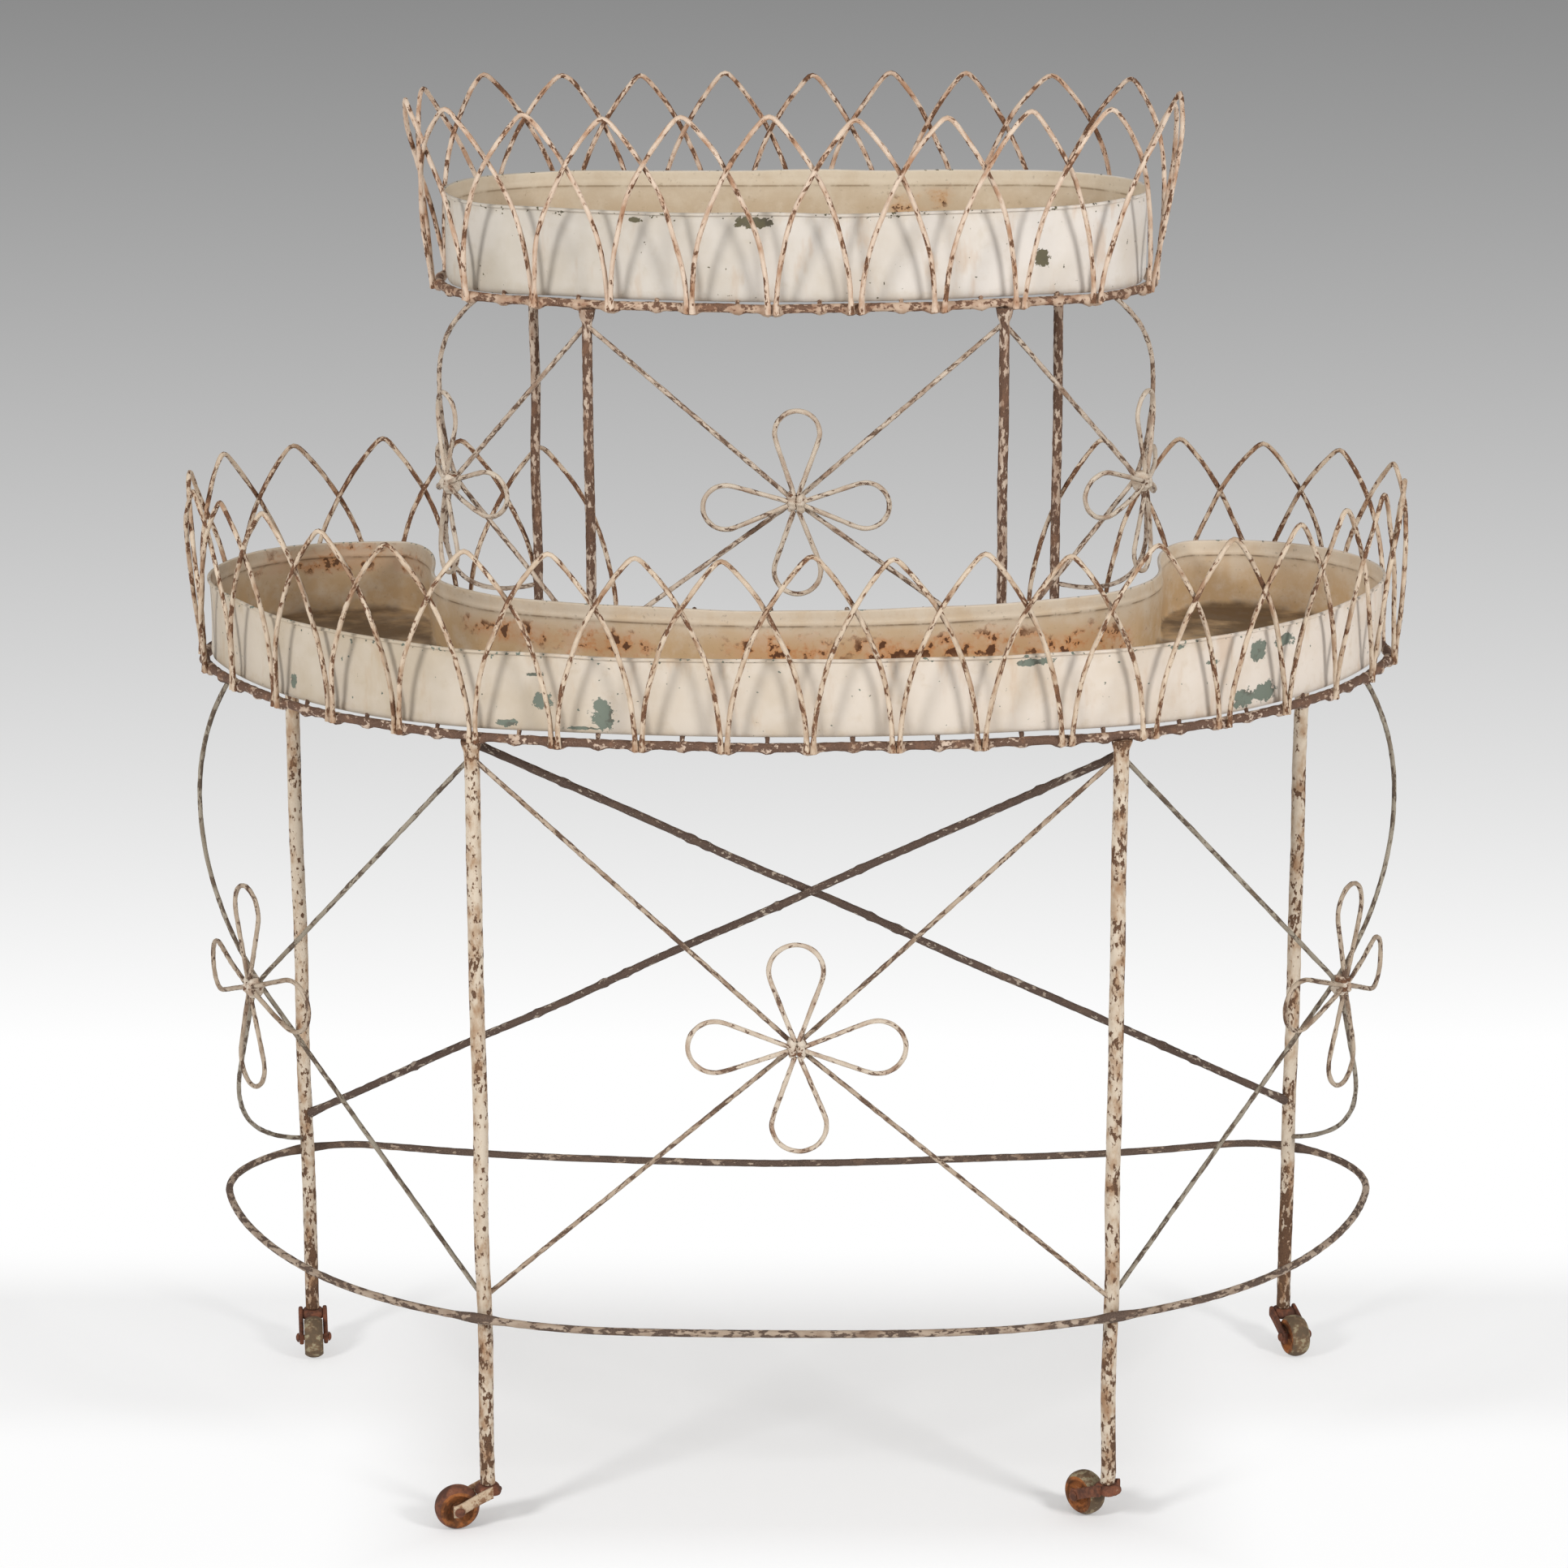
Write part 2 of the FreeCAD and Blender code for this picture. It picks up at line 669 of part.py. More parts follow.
for name, leg in legs.items():
    pin_end = "Sizes.leg_foot_height - Sizes.hub_length - 2 * Sizes.end_gap"
    leg_top = "Sizes.lower_ring_height - Sizes.ring_rod / 2"
    turned(f"leg_{name}", [
        ("0", f"{pin_end} - Sizes.pivot_head_length"),
        ("Sizes.pivot_head / 2", f"{pin_end} - Sizes.pivot_head_length"),
        ("Sizes.pivot_head / 2", pin_end),
        ("Sizes.pivot_diameter / 2", pin_end),
        ("Sizes.pivot_diameter / 2", "Sizes.leg_foot_height"),
        ("Sizes.leg_rod / 2", "Sizes.leg_foot_height"),
        ("Sizes.leg_rod / 2", f"{leg_top} - Sizes.leg_flare_length"),
        ("Sizes.leg_rod / 2 + Sizes.leg_flare", leg_top),
        ("0", leg_top),
    ], Placement(Vector(leg.x, leg.y, 0), Rotation()))

for name, upright in uprights.items():
    foot = "Sizes.lower_ring_height + Sizes.ring_rod / 2"
    if name.startswith("front"):
        foot += " + Sizes.bar_wire + Sizes.bearer_rod + 2 * Sizes.fit_gap"
    top = "Sizes.lower_ring_height + Sizes.upper_ring_rise - Sizes.ring_rod / 2"
    rod = "Sizes.upright_rod / 2"
    profile = [("0", foot), (rod, foot), (rod, top), ("0", top)]
    turned(f"upright_{name}", profile, Placement(Vector(upright.x, upright.y, 0), Rotation()))

shaped("lower_tray_ring", closed_bar(lower_plan, lower_height, ring_rod))
shaped("upper_tray_ring", closed_bar(upper_plan, upper_height, ring_rod))
shaped("stretcher_hoop", closed_bar(hoop_plan(), size("hoop_height"), hoop_rod))

lower_pitch, lower_shift = size("lower_gallery_pitch"), size("lower_gallery_shift")
lower_run = lower_plan.half_length - size("lower_gallery_stop") - lower_pitch
lower_first = math.ceil((-lower_run - lower_shift) / lower_pitch)
lower_last = math.floor((lower_run - lower_shift) / lower_pitch)
upper_count = 2 * round(upper_plan.half_length / size("upper_gallery_pitch"))
upper_pitch, upper_shift = 2 * upper_plan.half_length / upper_count, size("upper_gallery_shift")
rear_uprights = (uprights["rear_left"], uprights["rear_right"])
tray_bars("lower", lower_plan, lower_height, lower_pitch, LOWER_BAR_SHARES, rear_uprights)
tray_bars("upper", upper_plan, upper_height, upper_pitch, UPPER_BAR_SHARES, ())
group("lower_gallery", [
    arch(lower_plan, lower_height, size("lower_flare"), index * lower_pitch + lower_shift, lower_pitch)
    for index in range(lower_first, lower_last + 1)
])
group("upper_gallery", [
    arch(upper_plan, upper_height, size("upper_flare"), index * upper_pitch + upper_shift, upper_pitch)
    for index in range(upper_count)
])

bearer = doc.addObject("Part::Cylinder", "upper_stage_bearer")
bearer.Label = "upper_stage_bearer"
bearer.setExpression("Radius", "Sizes.bearer_rod / 2")
bearer.setExpression("Height", "2 * (Sizes.front_upright_spread + Sizes.bearer_overhang)")
bearer.Placement = Placement(
    Vector(
        -size("front_upright_spread") - size("bearer_overhang"),
        uprights["front_right"].y,
        bearer_axis_height,
    ),
    Rotation(Z_AXIS, X_AXIS),
)

def brace_ends(side_name, other_name):
    """The axis ends of the brace from a front leg's top to the opposite rear leg's foot."""
    front, rear = legs[f"front_{side_name}"], legs[f"rear_{other_name}"]
    setback = Vector(0, size("brace_setback"), 0)
    start = front.axis(lower_height - size("brace_top_drop")) + setback
    return start, rear.axis(size("hoop_height") + size("brace_foot_rise"))


# the two braces cross one above the other, lifted and lowered so that the rods just clear
runs = [end - start for start, end in (brace_ends("left", "right"), brace_ends("right", "left"))]
crossing = runs[0].cross(runs[1]).normalize()
for side_name, other_name, side in (("left", "right", 1), ("right", "left", -1)):
    start, end = brace_ends(side_name, other_name)
    lift = Vector(0, 0, side * (brace_rod + fit_gap) / 2 / abs(crossing.z))
    brace = round_bar(start + lift, end + lift, brace_rod)
    brace = coped(brace, (legs[f"front_{side_name}"], legs[f"rear_{other_name}"]))
    shaped(f"cross_brace_from_{side_name}", brace)

panel_top = lower_height - size("panel_top_drop")
panel_foot = size("hoop_height") + size("panel_foot_rise")
lower_flower_height = panel_foot + LOWER_FLOWER_RISE_SHARE * (panel_top - panel_foot)
lower_flower = (lower_flower_height, size("lower_flower_reach"), size("lower_petal_width"))
front_panel("lower_front", legs, *lower_flower, panel_top, panel_foot)
for side_name in SIDES:
    shares = (LOWER_FLOWER_SHARE, LOWER_SCROLL_SHARE)
    ends = (panel_top, panel_foot, panel_curves("lower"))
    side_panel(f"lower_{side_name}", lower_plan, legs, side_name, shares, *lower_flower, *ends)

panel_top = upper_height - size("panel_top_drop")
panel_foot = bearer_top + size("panel_foot_rise")
upper_flower_height = panel_foot + UPPER_FLOWER_RISE_SHARE * (panel_top - panel_foot)
upper_flower = (upper_flower_height, size("upper_flower_reach"), size("upper_petal_width"))
front_panel("upper_front", uprights, *upper_flower, panel_top, panel_foot)
for side_name in SIDES:
    shares = (UPPER_FLOWER_SHARE, UPPER_SCROLL_SHARE)
    ends = (panel_top, panel_foot, panel_curves("upper"))
    side_panel(f"upper_{side_name}", upper_plan, uprights, side_name, shares, *upper_flower, *ends)


def recess(inset, floor, depth):
    """The bay at the back of the lower liner that the upper stage stands in, open to the rear."""
    offset = size("recess_gap") + inset
    rounded = Part.Face(upper_plan.wire(floor, offset)).extrude(Vector(0, 0, depth))
    half = upper_plan.half_width + offset
    bay_front = upper_plan.arcs[-1][1]
    bay_depth = lower_plan.back_y - bay_front + size("lower_end_radius")
    return rounded.fuse(Part.makeBox(2 * half, bay_depth, depth, Vector(-half, bay_front, floor)))


def crescent(inset, floor, depth):
    """The lower liner's solid outline drawn in by an inset, with rounded corners beside the bay."""
    outline = Part.Face(lower_plan.wire(floor, -size("liner_setback") - inset))
    block = outline.extrude(Vector(0, 0, depth)).cut(recess(inset, floor, depth))
    half = upper_plan.half_width + size("recess_gap") + inset
    back = lower_plan.back_y - size("liner_setback") - inset
    corners = []
    for edge in block.Edges:
        middle = edge.BoundBox.Center
        off_corner = math.hypot(abs(middle.x) - half, middle.y - back)
        if edge.BoundBox.ZLength > depth / 2 and off_corner < fit_gap:
            corners.append(edge)
    return block.makeFillet(size("wing_corner_radius") - inset, corners)


def half_round(inset, floor, depth):
    """The upper liner's solid outline drawn in by an inset."""
    outline = Part.Face(upper_plan.wire(floor, -size("liner_setback") - inset))
    return outline.extrude(Vector(0, 0, depth))


def liner(name, block, floor, depth):
    """A sheet-metal liner: thin floor and walls, with a band round the outside of its rim."""
    sheet_thickness, rim_depth = size("liner_sheet"), size("rim_depth")
    rim = block(-size("rim_width"), floor + depth - rim_depth, rim_depth)
    hollow = block(sheet_thickness, floor + sheet_thickness, depth)
    return shaped(name, block(0.0, floor, depth).fuse(rim).cut(hollow).removeSplitter())


liner("lower_liner", crescent, lower_height + bars_top, size("lower_liner_depth"))
liner("upper_liner", half_round, upper_height + bars_top, size("upper_liner_depth"))


def padded(body, sketch, length):
    """A pad to both sides of its sketch."""
    pad = body.newObject("PartDesign::Pad", sketch.Name + "_pad")
    pad.Profile = sketch
    pad.SideType = "Symmetric"
    pad.setExpression("Length", length)
    return pad


def fork(label, place):
    """A caster fork: two tapered arms from a crown to the axle, and a hub that turns on the leg."""
    body = doc.addObject("PartDesign::Body", label)
    body.Label = label
    axle_up, trail = "Sizes.wheel_diameter / 2", "Sizes.caster_trail"
    slot_width = "Sizes.wheel_width + 2 * Sizes.side_gap"
    full_width = f"{slot_width} + 2 * Sizes.cheek"
    crown_bottom = "Sizes.leg_foot_height - Sizes.end_gap - Sizes.hub_length"
    crown_top = "Sizes.leg_foot_height - Sizes.end_gap - Sizes.hub_rise"
    along, up = f"Sizes.fork_eye * {EYE_ALONG_SHARE}", f"Sizes.fork_eye * {EYE_UP_SHARE}"
    arms = polygon_sketch(body, label + "_arms", "XZ_Plane", [
        ("-Sizes.crown_reach", crown_bottom),
        ("-Sizes.crown_reach", crown_top),
        ("Sizes.crown_reach", crown_top),
        (f"{trail} + {along}", f"{axle_up} + {up}"),
        (f"{trail} - {along}", f"{axle_up} - {up}"),
    ])
    padded(body, arms, full_width)
    eye = circle_sketch(body, label + "_eye", "XZ_Plane", trail, axle_up, "Sizes.fork_eye")
    padded(body, eye, full_width)
    slot_start = "Sizes.crown_reach + Sizes.side_gap"
    slot_end = f"{trail} + Sizes.wheel_diameter"
    slot = polygon_sketch(body, label + "_slot", "XZ_Plane", [
        ("-2 * Sizes.crown_reach", "0"),
        (slot_end, "0"),
        (slot_end, "Sizes.leg_foot_height"),
        (slot_start, "Sizes.leg_foot_height"),
        (slot_start, crown_bottom),
        ("-2 * Sizes.crown_reach", crown_bottom),
    ])
    opened = body.newObject("PartDesign::Pocket", label + "_opened")
    opened.Profile = slot
    opened.SideType = "Symmetric"
    opened.setExpression("Length", slot_width)
    hub = circle_sketch(body, label + "_hub", "XY_Plane", "0", "0", "Sizes.hub_diameter")
    hub.setExpression("AttachmentOffset.Base.z", crown_bottom)
    hub_pad = body.newObject("PartDesign::Pad", label + "_hub_pad")
    hub_pad.Profile = hub
    hub_pad.setExpression("Length", "Sizes.hub_length")
    for plane, across, height, bore in (
        ("XY_Plane", "0", "0", "Sizes.pivot_diameter + 2 * Sizes.running_gap"),
        ("XZ_Plane", trail, axle_up, "Sizes.axle_diameter + 2 * Sizes.running_gap"),
    ):
        hole = circle_sketch(body, f"{label}_bore_{plane}", plane, across, height, bore)
        bored = body.newObject("PartDesign::Pocket", f"{label}_bored_{plane}")
        bored.Profile = hole
        bored.SideType = "Symmetric"
        bored.Type = "ThroughAll"
    body.Placement = place
    return body


for name, leg in legs.items():
    swivel = Placement(Vector(leg.x, leg.y, 0), Rotation(Z_AXIS, TRAIL_TURNS[name]))
    axle_place = Placement(
        Vector(size("caster_trail"), 0, size("wheel_diameter") / 2),
        Rotation(X_AXIS, QUARTER_TURN),
    )
    fork(f"caster_fork_{name}", swivel)
    turned(f"caster_wheel_{name}", [
        ("Sizes.axle_diameter / 2 + Sizes.running_gap", "-Sizes.wheel_web / 2"),
        ("Sizes.wheel_dish / 2", "-Sizes.wheel_web / 2"),
        ("Sizes.wheel_dish / 2", "-Sizes.wheel_width / 2"),
        ("Sizes.wheel_face / 2", "-Sizes.wheel_width / 2"),
        ("Sizes.wheel_diameter / 2", "-Sizes.wheel_tread / 2"),
        ("Sizes.wheel_diameter / 2", "Sizes.wheel_tread / 2"),
        ("Sizes.wheel_face / 2", "Sizes.wheel_width / 2"),
        ("Sizes.wheel_dish / 2", "Sizes.wheel_width / 2"),
        ("Sizes.wheel_dish / 2", "Sizes.wheel_web / 2"),
        ("Sizes.axle_diameter / 2 + Sizes.running_gap", "Sizes.wheel_web / 2"),
    ], swivel * axle_place)
    shank = "Sizes.wheel_width / 2 + Sizes.side_gap + Sizes.cheek + Sizes.end_gap"
    turned(f"caster_axle_{name}", [
        ("0", f"-({shank} + Sizes.axle_head_length)"),
        ("Sizes.axle_head / 2", f"-({shank} + Sizes.axle_head_length)"),
        ("Sizes.axle_head / 2", f"-({shank})"),
        ("Sizes.axle_diameter / 2", f"-({shank})"),
        ("Sizes.axle_diameter / 2", shank),
        ("Sizes.axle_head / 2", shank),
        ("Sizes.axle_head / 2", f"{shank} + Sizes.axle_head_length"),
        ("0", f"{shank} + Sizes.axle_head_length"),
    ], swivel * axle_place)

doc.recompute()

SUB_PART_TYPES = ("PartDesign::Body", "Part::Feature", "Part::Cylinder")
sub_parts = [item for item in doc.Objects if item.TypeId in SUB_PART_TYPES]
failed = [item.Label for item in doc.Objects if {"Invalid", "Error"} & set(item.State)]
failed += [item.Label for item in sub_parts if item.Shape.isNull() or not item.Shape.isValid()]
if failed:
    raise RuntimeError(f"these objects did not build: {failed}")

os.makedirs("parts", exist_ok=True)
for item in sub_parts:
    item.Shape.exportStep(f"parts/{item.Label}.step")
print(f"{len(sub_parts)} sub-parts written")
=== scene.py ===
"""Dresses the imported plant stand: uneven rods and wires under chipped paint, rolled sheet liners and
rusty casters, on a pale studio floor."""
import logging
import math
from dataclasses import dataclass, field
from enum import Enum
from typing import Any, Sequence, Union

import bpy
import numpy as np
from mathutils import Matrix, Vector
from numpy.typing import NDArray


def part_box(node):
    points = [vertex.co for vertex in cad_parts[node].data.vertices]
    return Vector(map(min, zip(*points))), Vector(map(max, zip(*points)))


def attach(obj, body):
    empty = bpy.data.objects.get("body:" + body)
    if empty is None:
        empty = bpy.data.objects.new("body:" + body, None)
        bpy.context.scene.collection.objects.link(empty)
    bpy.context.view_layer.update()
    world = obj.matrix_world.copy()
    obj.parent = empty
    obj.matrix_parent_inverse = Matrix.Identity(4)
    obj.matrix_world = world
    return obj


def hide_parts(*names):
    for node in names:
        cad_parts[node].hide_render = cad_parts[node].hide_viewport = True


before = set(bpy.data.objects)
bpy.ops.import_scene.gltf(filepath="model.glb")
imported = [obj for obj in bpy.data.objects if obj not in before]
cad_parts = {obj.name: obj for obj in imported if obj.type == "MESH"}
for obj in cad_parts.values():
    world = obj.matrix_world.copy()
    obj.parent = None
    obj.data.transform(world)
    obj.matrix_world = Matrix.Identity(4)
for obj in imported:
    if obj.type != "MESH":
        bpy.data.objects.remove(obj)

Array = NDArray[np.float64]
Colour = tuple[int, int, int]
Draws = np.random.Generator
Pair = tuple[float, float]
Triple = tuple[float, float, float]
Value = Union["Term", float]
Material = bpy.types.Material
Object = bpy.types.Object

MM = 0.001
FULL_TURN = 2 * math.pi
HEX_CORNER_SHARE = 1 / math.cos(math.pi / 6)
UP = np.array([0.0, 0.0, 1.0])
BEAD_DROP = 12 * MM
SETTLED = 0.3 * MM
COURSE_SPREAD = 5.0
log = logging.getLogger("plant_stand")


class Side(Enum):
    """The two halves of the stand, seen from the front."""

    LEFT = -1
    RIGHT = 1

    @property
    def word(self) -> str:
        """The side's name as it stands in node names."""
        return self.name.lower()


class Row(Enum):
    """The two rows of posts."""

    FRONT = "front"
    REAR = "rear"


class Slot(Enum):
    """The record's material slots."""

    WIRE = "painted_wire"
    ROD = "bare_rod"
    RING = "ring_iron"
    SHEET = "painted_sheet"
    CASTER = "caster_iron"
    WHEEL = "wheel_iron"


@dataclass(frozen=True)
class Extent:
    """The box round one CAD node."""

    low: Array
    high: Array

    @classmethod
    def of(cls, node: str) -> "Extent":
        """The box round a node of the frame."""
        low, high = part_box(node)
        return cls(np.array(low), np.array(high))

    @property
    def middle(self) -> Array:
        """The box's middle point."""
        return (self.low + self.high) / 2

    @property
    def size(self) -> Array:
        """The box's three sides."""
        return self.high - self.low


def unit(vectors: Array) -> Array:
    """The vectors, each divided by its own length."""
    return vectors / np.linalg.norm(vectors, axis=-1, keepdims=True)


def run_lengths(path: Array) -> Array:
    """How far each point of a path lies from its start, as the running sum of the steps' lengths."""
    steps = np.linalg.norm(np.diff(path, axis=-2), axis=-1)
    return np.concatenate([np.zeros(path.shape[:-2] + (1,)), np.cumsum(steps, axis=-1)], axis=-1)


def line(start: Array, end: Array, count: int) -> Array:
    """Points on the straight line from one point to another: start plus share times the run."""
    share = np.linspace(0, 1, count)[:, None]
    return np.asarray(start) + share * (np.asarray(end) - np.asarray(start))


def held(values: Array) -> Array:
    """The values, kept between 0 and 1."""
    return np.clip(values, 0, 1)


def bump(distance: Array, width: float) -> Array:
    """A bell curve, exp(-(distance / width) ** 2), which is 1 at no distance."""
    return np.exp(-((distance / width) ** 2))


def all_turns(count: int) -> Array:
    """Angles an even step apart over a full turn."""
    return np.linspace(0, FULL_TURN, count, endpoint=False)


def squared(wave: Array, power: float) -> Array:
    """A sine or cosine with its size raised to a power: under 1, a circle fills out towards a square."""
    return np.sign(wave) * np.abs(wave) ** power


def softened(path: Array, rounds: int) -> Array:
    """A path with its corners rounded: each inner point becomes a half of itself and a quarter of
    each neighbour, a number of times over.

    Args:
        path: points, along the last axis but one.
        rounds: how many times the mean is taken.

    Returns:
        The rounded path, with its ends where they were.
    """
    smooth = path.copy()
    for _ in range(rounds):
        inner = smooth[..., :-2, :] + 2 * smooth[..., 1:-1, :] + smooth[..., 2:, :]
        smooth[..., 1:-1, :] = inner / 4
    return smooth


def evenly(path: Array, step: float) -> Array:
    """A path with its points an even step apart, each read off between the old ones.

    Args:
        path: points of one path.
        step: the distance between the new points, about.

    Returns:
        The new points.
    """
    along = run_lengths(path)
    count = max(4, int(round(along[-1] / step)) + 1)
    places = np.linspace(0, along[-1], count)
    return np.stack([np.interp(places, along, path[:, axis]) for axis in range(3)], axis=-1)


@dataclass
class Unevenness:
    """Hand-worked irregularity, as a sum of sines of random length, turn and phase."""

    draws: Draws
    shortest: float = 9 * MM
    longest: float = 70 * MM
    waves: int = 7

    def over(self, along: Array, turns: Array, closed_length: float = 0.0) -> Array:
        """Lumps on a rod: the mean over the waves of sin(length / wavelength + twist * turn + phase).

        Args:
            along: lengths along each rod, one row for each rod.
            turns: angles round the rod.
            closed_length: the whole length of a closed rod, which its waves divide evenly.

        Returns:
            One number for each place and turn, mostly between -1 and 1.
        """
        shape = along.shape[:-1] + (1, 1, self.waves)
        spread = self.draws.uniform(math.log(self.shortest), math.log(self.longest), shape)
        wavelength = np.exp(spread)
        if closed_length:
            wavelength = closed_length / np.round(closed_length / wavelength)
        twist = self.draws.integers(-2, 3, shape)
        phase = self.draws.uniform(0, FULL_TURN, shape)
        angle = FULL_TURN * along[..., :, None, None] / wavelength + twist * turns[:, None] + phase
        return np.sin(angle).sum(axis=-1) / math.sqrt(self.waves)

    def along(self, along: Array, closed_length: float = 0.0) -> Array:
        """The same waves with no twist round the rod, one number for each place."""
        return self.over(along, np.zeros(1), closed_length)[..., 0]


class Outline:
    """Half-round outline: a shallow front arc, two shoulder arcs, two end arcs and a back run.

    A place on it is the length from the middle of the front, to the right when positive. The point
    there is the arc's middle plus its radius times (sin turn, -cos turn), and that direction is the
    outward normal. The back run is straight, or bowed forward in one arc that the end arcs flow into.
    """

    def __init__(
        self, half_width: float, depth: float, end_radius: float, turns: Pair,
        middle_y: float, bow: float = 0.0,
    ) -> None:
        """Works out the arcs.

        An arc goes across by radius * (sine at its end - sine at its start) and back by radius *
        (cosine at its start - cosine at its end). The radii of front and shoulder are those with
        which the steps add up to the half width and the depth.

        Args:
            half_width: half the width over all.
            depth: the depth over all.
            end_radius: radius of the two ends.
            turns: where the front arc and the shoulder arcs end, in degrees from straight forward.
            middle_y: the middle of the depth.
            bow: how far the back run is bowed forward.
        """
        first, second = (math.radians(turn) for turn in turns)
        across = half_width - end_radius * (1 - math.sin(second))
        deep = depth - end_radius * (1 + math.cos(second))
        sine_step = math.sin(second) - math.sin(first)
        cosine_step = math.cos(first) - math.cos(second)
        rise = 1 - math.cos(first)
        divisor = math.sin(first) * cosine_step - sine_step * rise
        front_radius = (across * cosine_step - sine_step * deep) / divisor
        shoulder_radius = (math.sin(first) * deep - rise * across) / divisor
        self.half_width = half_width
        self.front_y, self.back_y = middle_y - depth / 2, middle_y + depth / 2
        self.radii = np.array([front_radius, shoulder_radius, end_radius])
        bend = np.array([first, second])
        drops = self.radii[:-1] - self.radii[1:]
        self.x_mids = np.concatenate([[0.0], np.cumsum(drops * np.sin(bend))])
        first_y = self.front_y + front_radius
        self.y_mids = np.concatenate([[first_y], first_y - np.cumsum(drops * np.cos(bend))])
        self.back_half = float(self.x_mids[-1])
        over_turn = 2 * math.atan2(bow, self.back_half)
        self.starts = np.array([0.0, first, second])
        self.ends = np.array([first, second, math.pi + over_turn])
        self.marks = np.cumsum(self.radii * (self.ends - self.starts))
        self.bow, self.back_radius = bow, 0.0
        back_length = self.back_half
        if bow:
            end_x = self.back_half + end_radius * math.sin(self.ends[-1])
            sagitta = self.y_mids[-1] - end_radius * math.cos(self.ends[-1]) - self.back_y + bow
            self.back_radius = (end_x**2 + sagitta**2) / (2 * sagitta)
            self.back_turn = math.asin(end_x / self.back_radius)
            back_length = self.back_radius * self.back_turn
        self.half_length = float(self.marks[-1]) + back_length

    def heading(self, place: Array) -> tuple[Array, Array, Array]:
        """Turn of the outward normal and the plan point at places on the outline.

        Args:
            place: lengths from the middle of the front.

        Returns:
            The turn from straight forward, x and y.
        """
        place = np.asarray(place, float)
        wrapped = (place + self.half_length) % (2 * self.half_length) - self.half_length
        run = np.abs(wrapped)
        index = np.searchsorted(self.marks, run)
        arc = np.minimum(index, 2)
        before = np.concatenate([[0.0], self.marks[:-1]])[arc]
        turn = self.starts[arc] + (run - before) / self.radii[arc]
        x = self.x_mids[arc] + self.radii[arc] * np.sin(turn)
        y = self.y_mids[arc] - self.radii[arc] * np.cos(turn)
        past = run - self.marks[-1]
        if self.bow:
            back = self.back_turn - past / self.back_radius
            back_x = self.back_radius * np.sin(back)
            back_y = self.back_y - self.bow + self.back_radius * (1 - np.cos(back))
            back_turn = math.pi + back
        else:
            back_x, back_y, back_turn = self.back_half - past, self.back_y, math.pi
        behind = index > 2
        turn = np.where(behind, back_turn, turn)
        side = np.where(wrapped < 0, -1.0, 1.0)
        return side * turn, side * np.where(behind, back_x, x), np.where(behind, back_y, y)

    def outward(self, place: Array) -> Array:
        """The level outward direction at places: (sin turn, -cos turn, 0)."""
        turn, x, _ = self.heading(place)
        return np.stack([np.sin(turn), -np.cos(turn), np.zeros_like(x)], axis=-1)

    def at(self, place: Array, height: Array, offset: Array = 0.0) -> Array:
        """Points over places on the outline, moved outwards by an offset.

        Args:
            place: lengths from the middle of the front.
            height: heights above the floor.
            offset: distances outwards.

        Returns:
            The points.
        """
        place, height, offset = np.broadcast_arrays(place, height, offset)
        turn, x, y = self.heading(place)
        return np.stack([x + offset * np.sin(turn), y - offset * np.cos(turn), height], axis=-1)

    def place_of_x(self, x: float, row: Row = Row.FRONT) -> float:
        """The place, in front or behind, at a distance to the right of the middle.

        On an arc the turn is asin((x - middle) / radius), or half a turn less that behind.

        Args:
            x: the distance.
            row: whether the front or the rear half is meant.

        Returns:
            The place's length from the middle of the front.
        """
        length = 0.0
        for middle, radius, start, end in zip(self.x_mids, self.radii, self.starts, self.ends):
            turn = math.asin(max(-1.0, min(1.0, (x - middle) / radius)))
            turn = math.pi - turn if row is Row.REAR else turn
            if start <= turn <= end:
                return float(length + radius * (turn - start))
            length += radius * (end - start)
        return float(length + self.back_half - x)

    def all_round(self, step: float) -> Array:
        """Places an even step apart over the whole outline."""
        count = int(round(2 * self.half_length / step))
        return np.linspace(-self.half_length, self.half_length, count, endpoint=False)


def ring_outline(node: str, end_radius: float, turns: Pair, bow: float = 0.0) -> Outline:
    """The outline that a closed ring of the frame follows, from the box round its node.

    Args:
        node: the ring's node.
        end_radius: radius of its two ends.
        turns: where its front and shoulder arcs end, in degrees.
        bow: how far its back run is bowed forward.

    Returns:
        The outline of the rod's axis.
    """
    extent = Extent.of(node)
    reach = extent.size[2] / 2 * HEX_CORNER_SHARE
    half_width, depth = extent.size[0] / 2 - reach, extent.size[1] - 2 * reach
    return Outline(half_width, depth, end_radius, turns, float(extent.middle[1]), bow)


@dataclass
class Stock:
    """Round rod or wire: its diameter, how uneven it is, and how finely its mesh is cut."""

    diameter: float
    lump: float = 0.05
    sides: int = 10
    step: float = 4 * MM

    @property
    def radius(self) -> float:
        """Half the diameter."""
        return self.diameter / 2


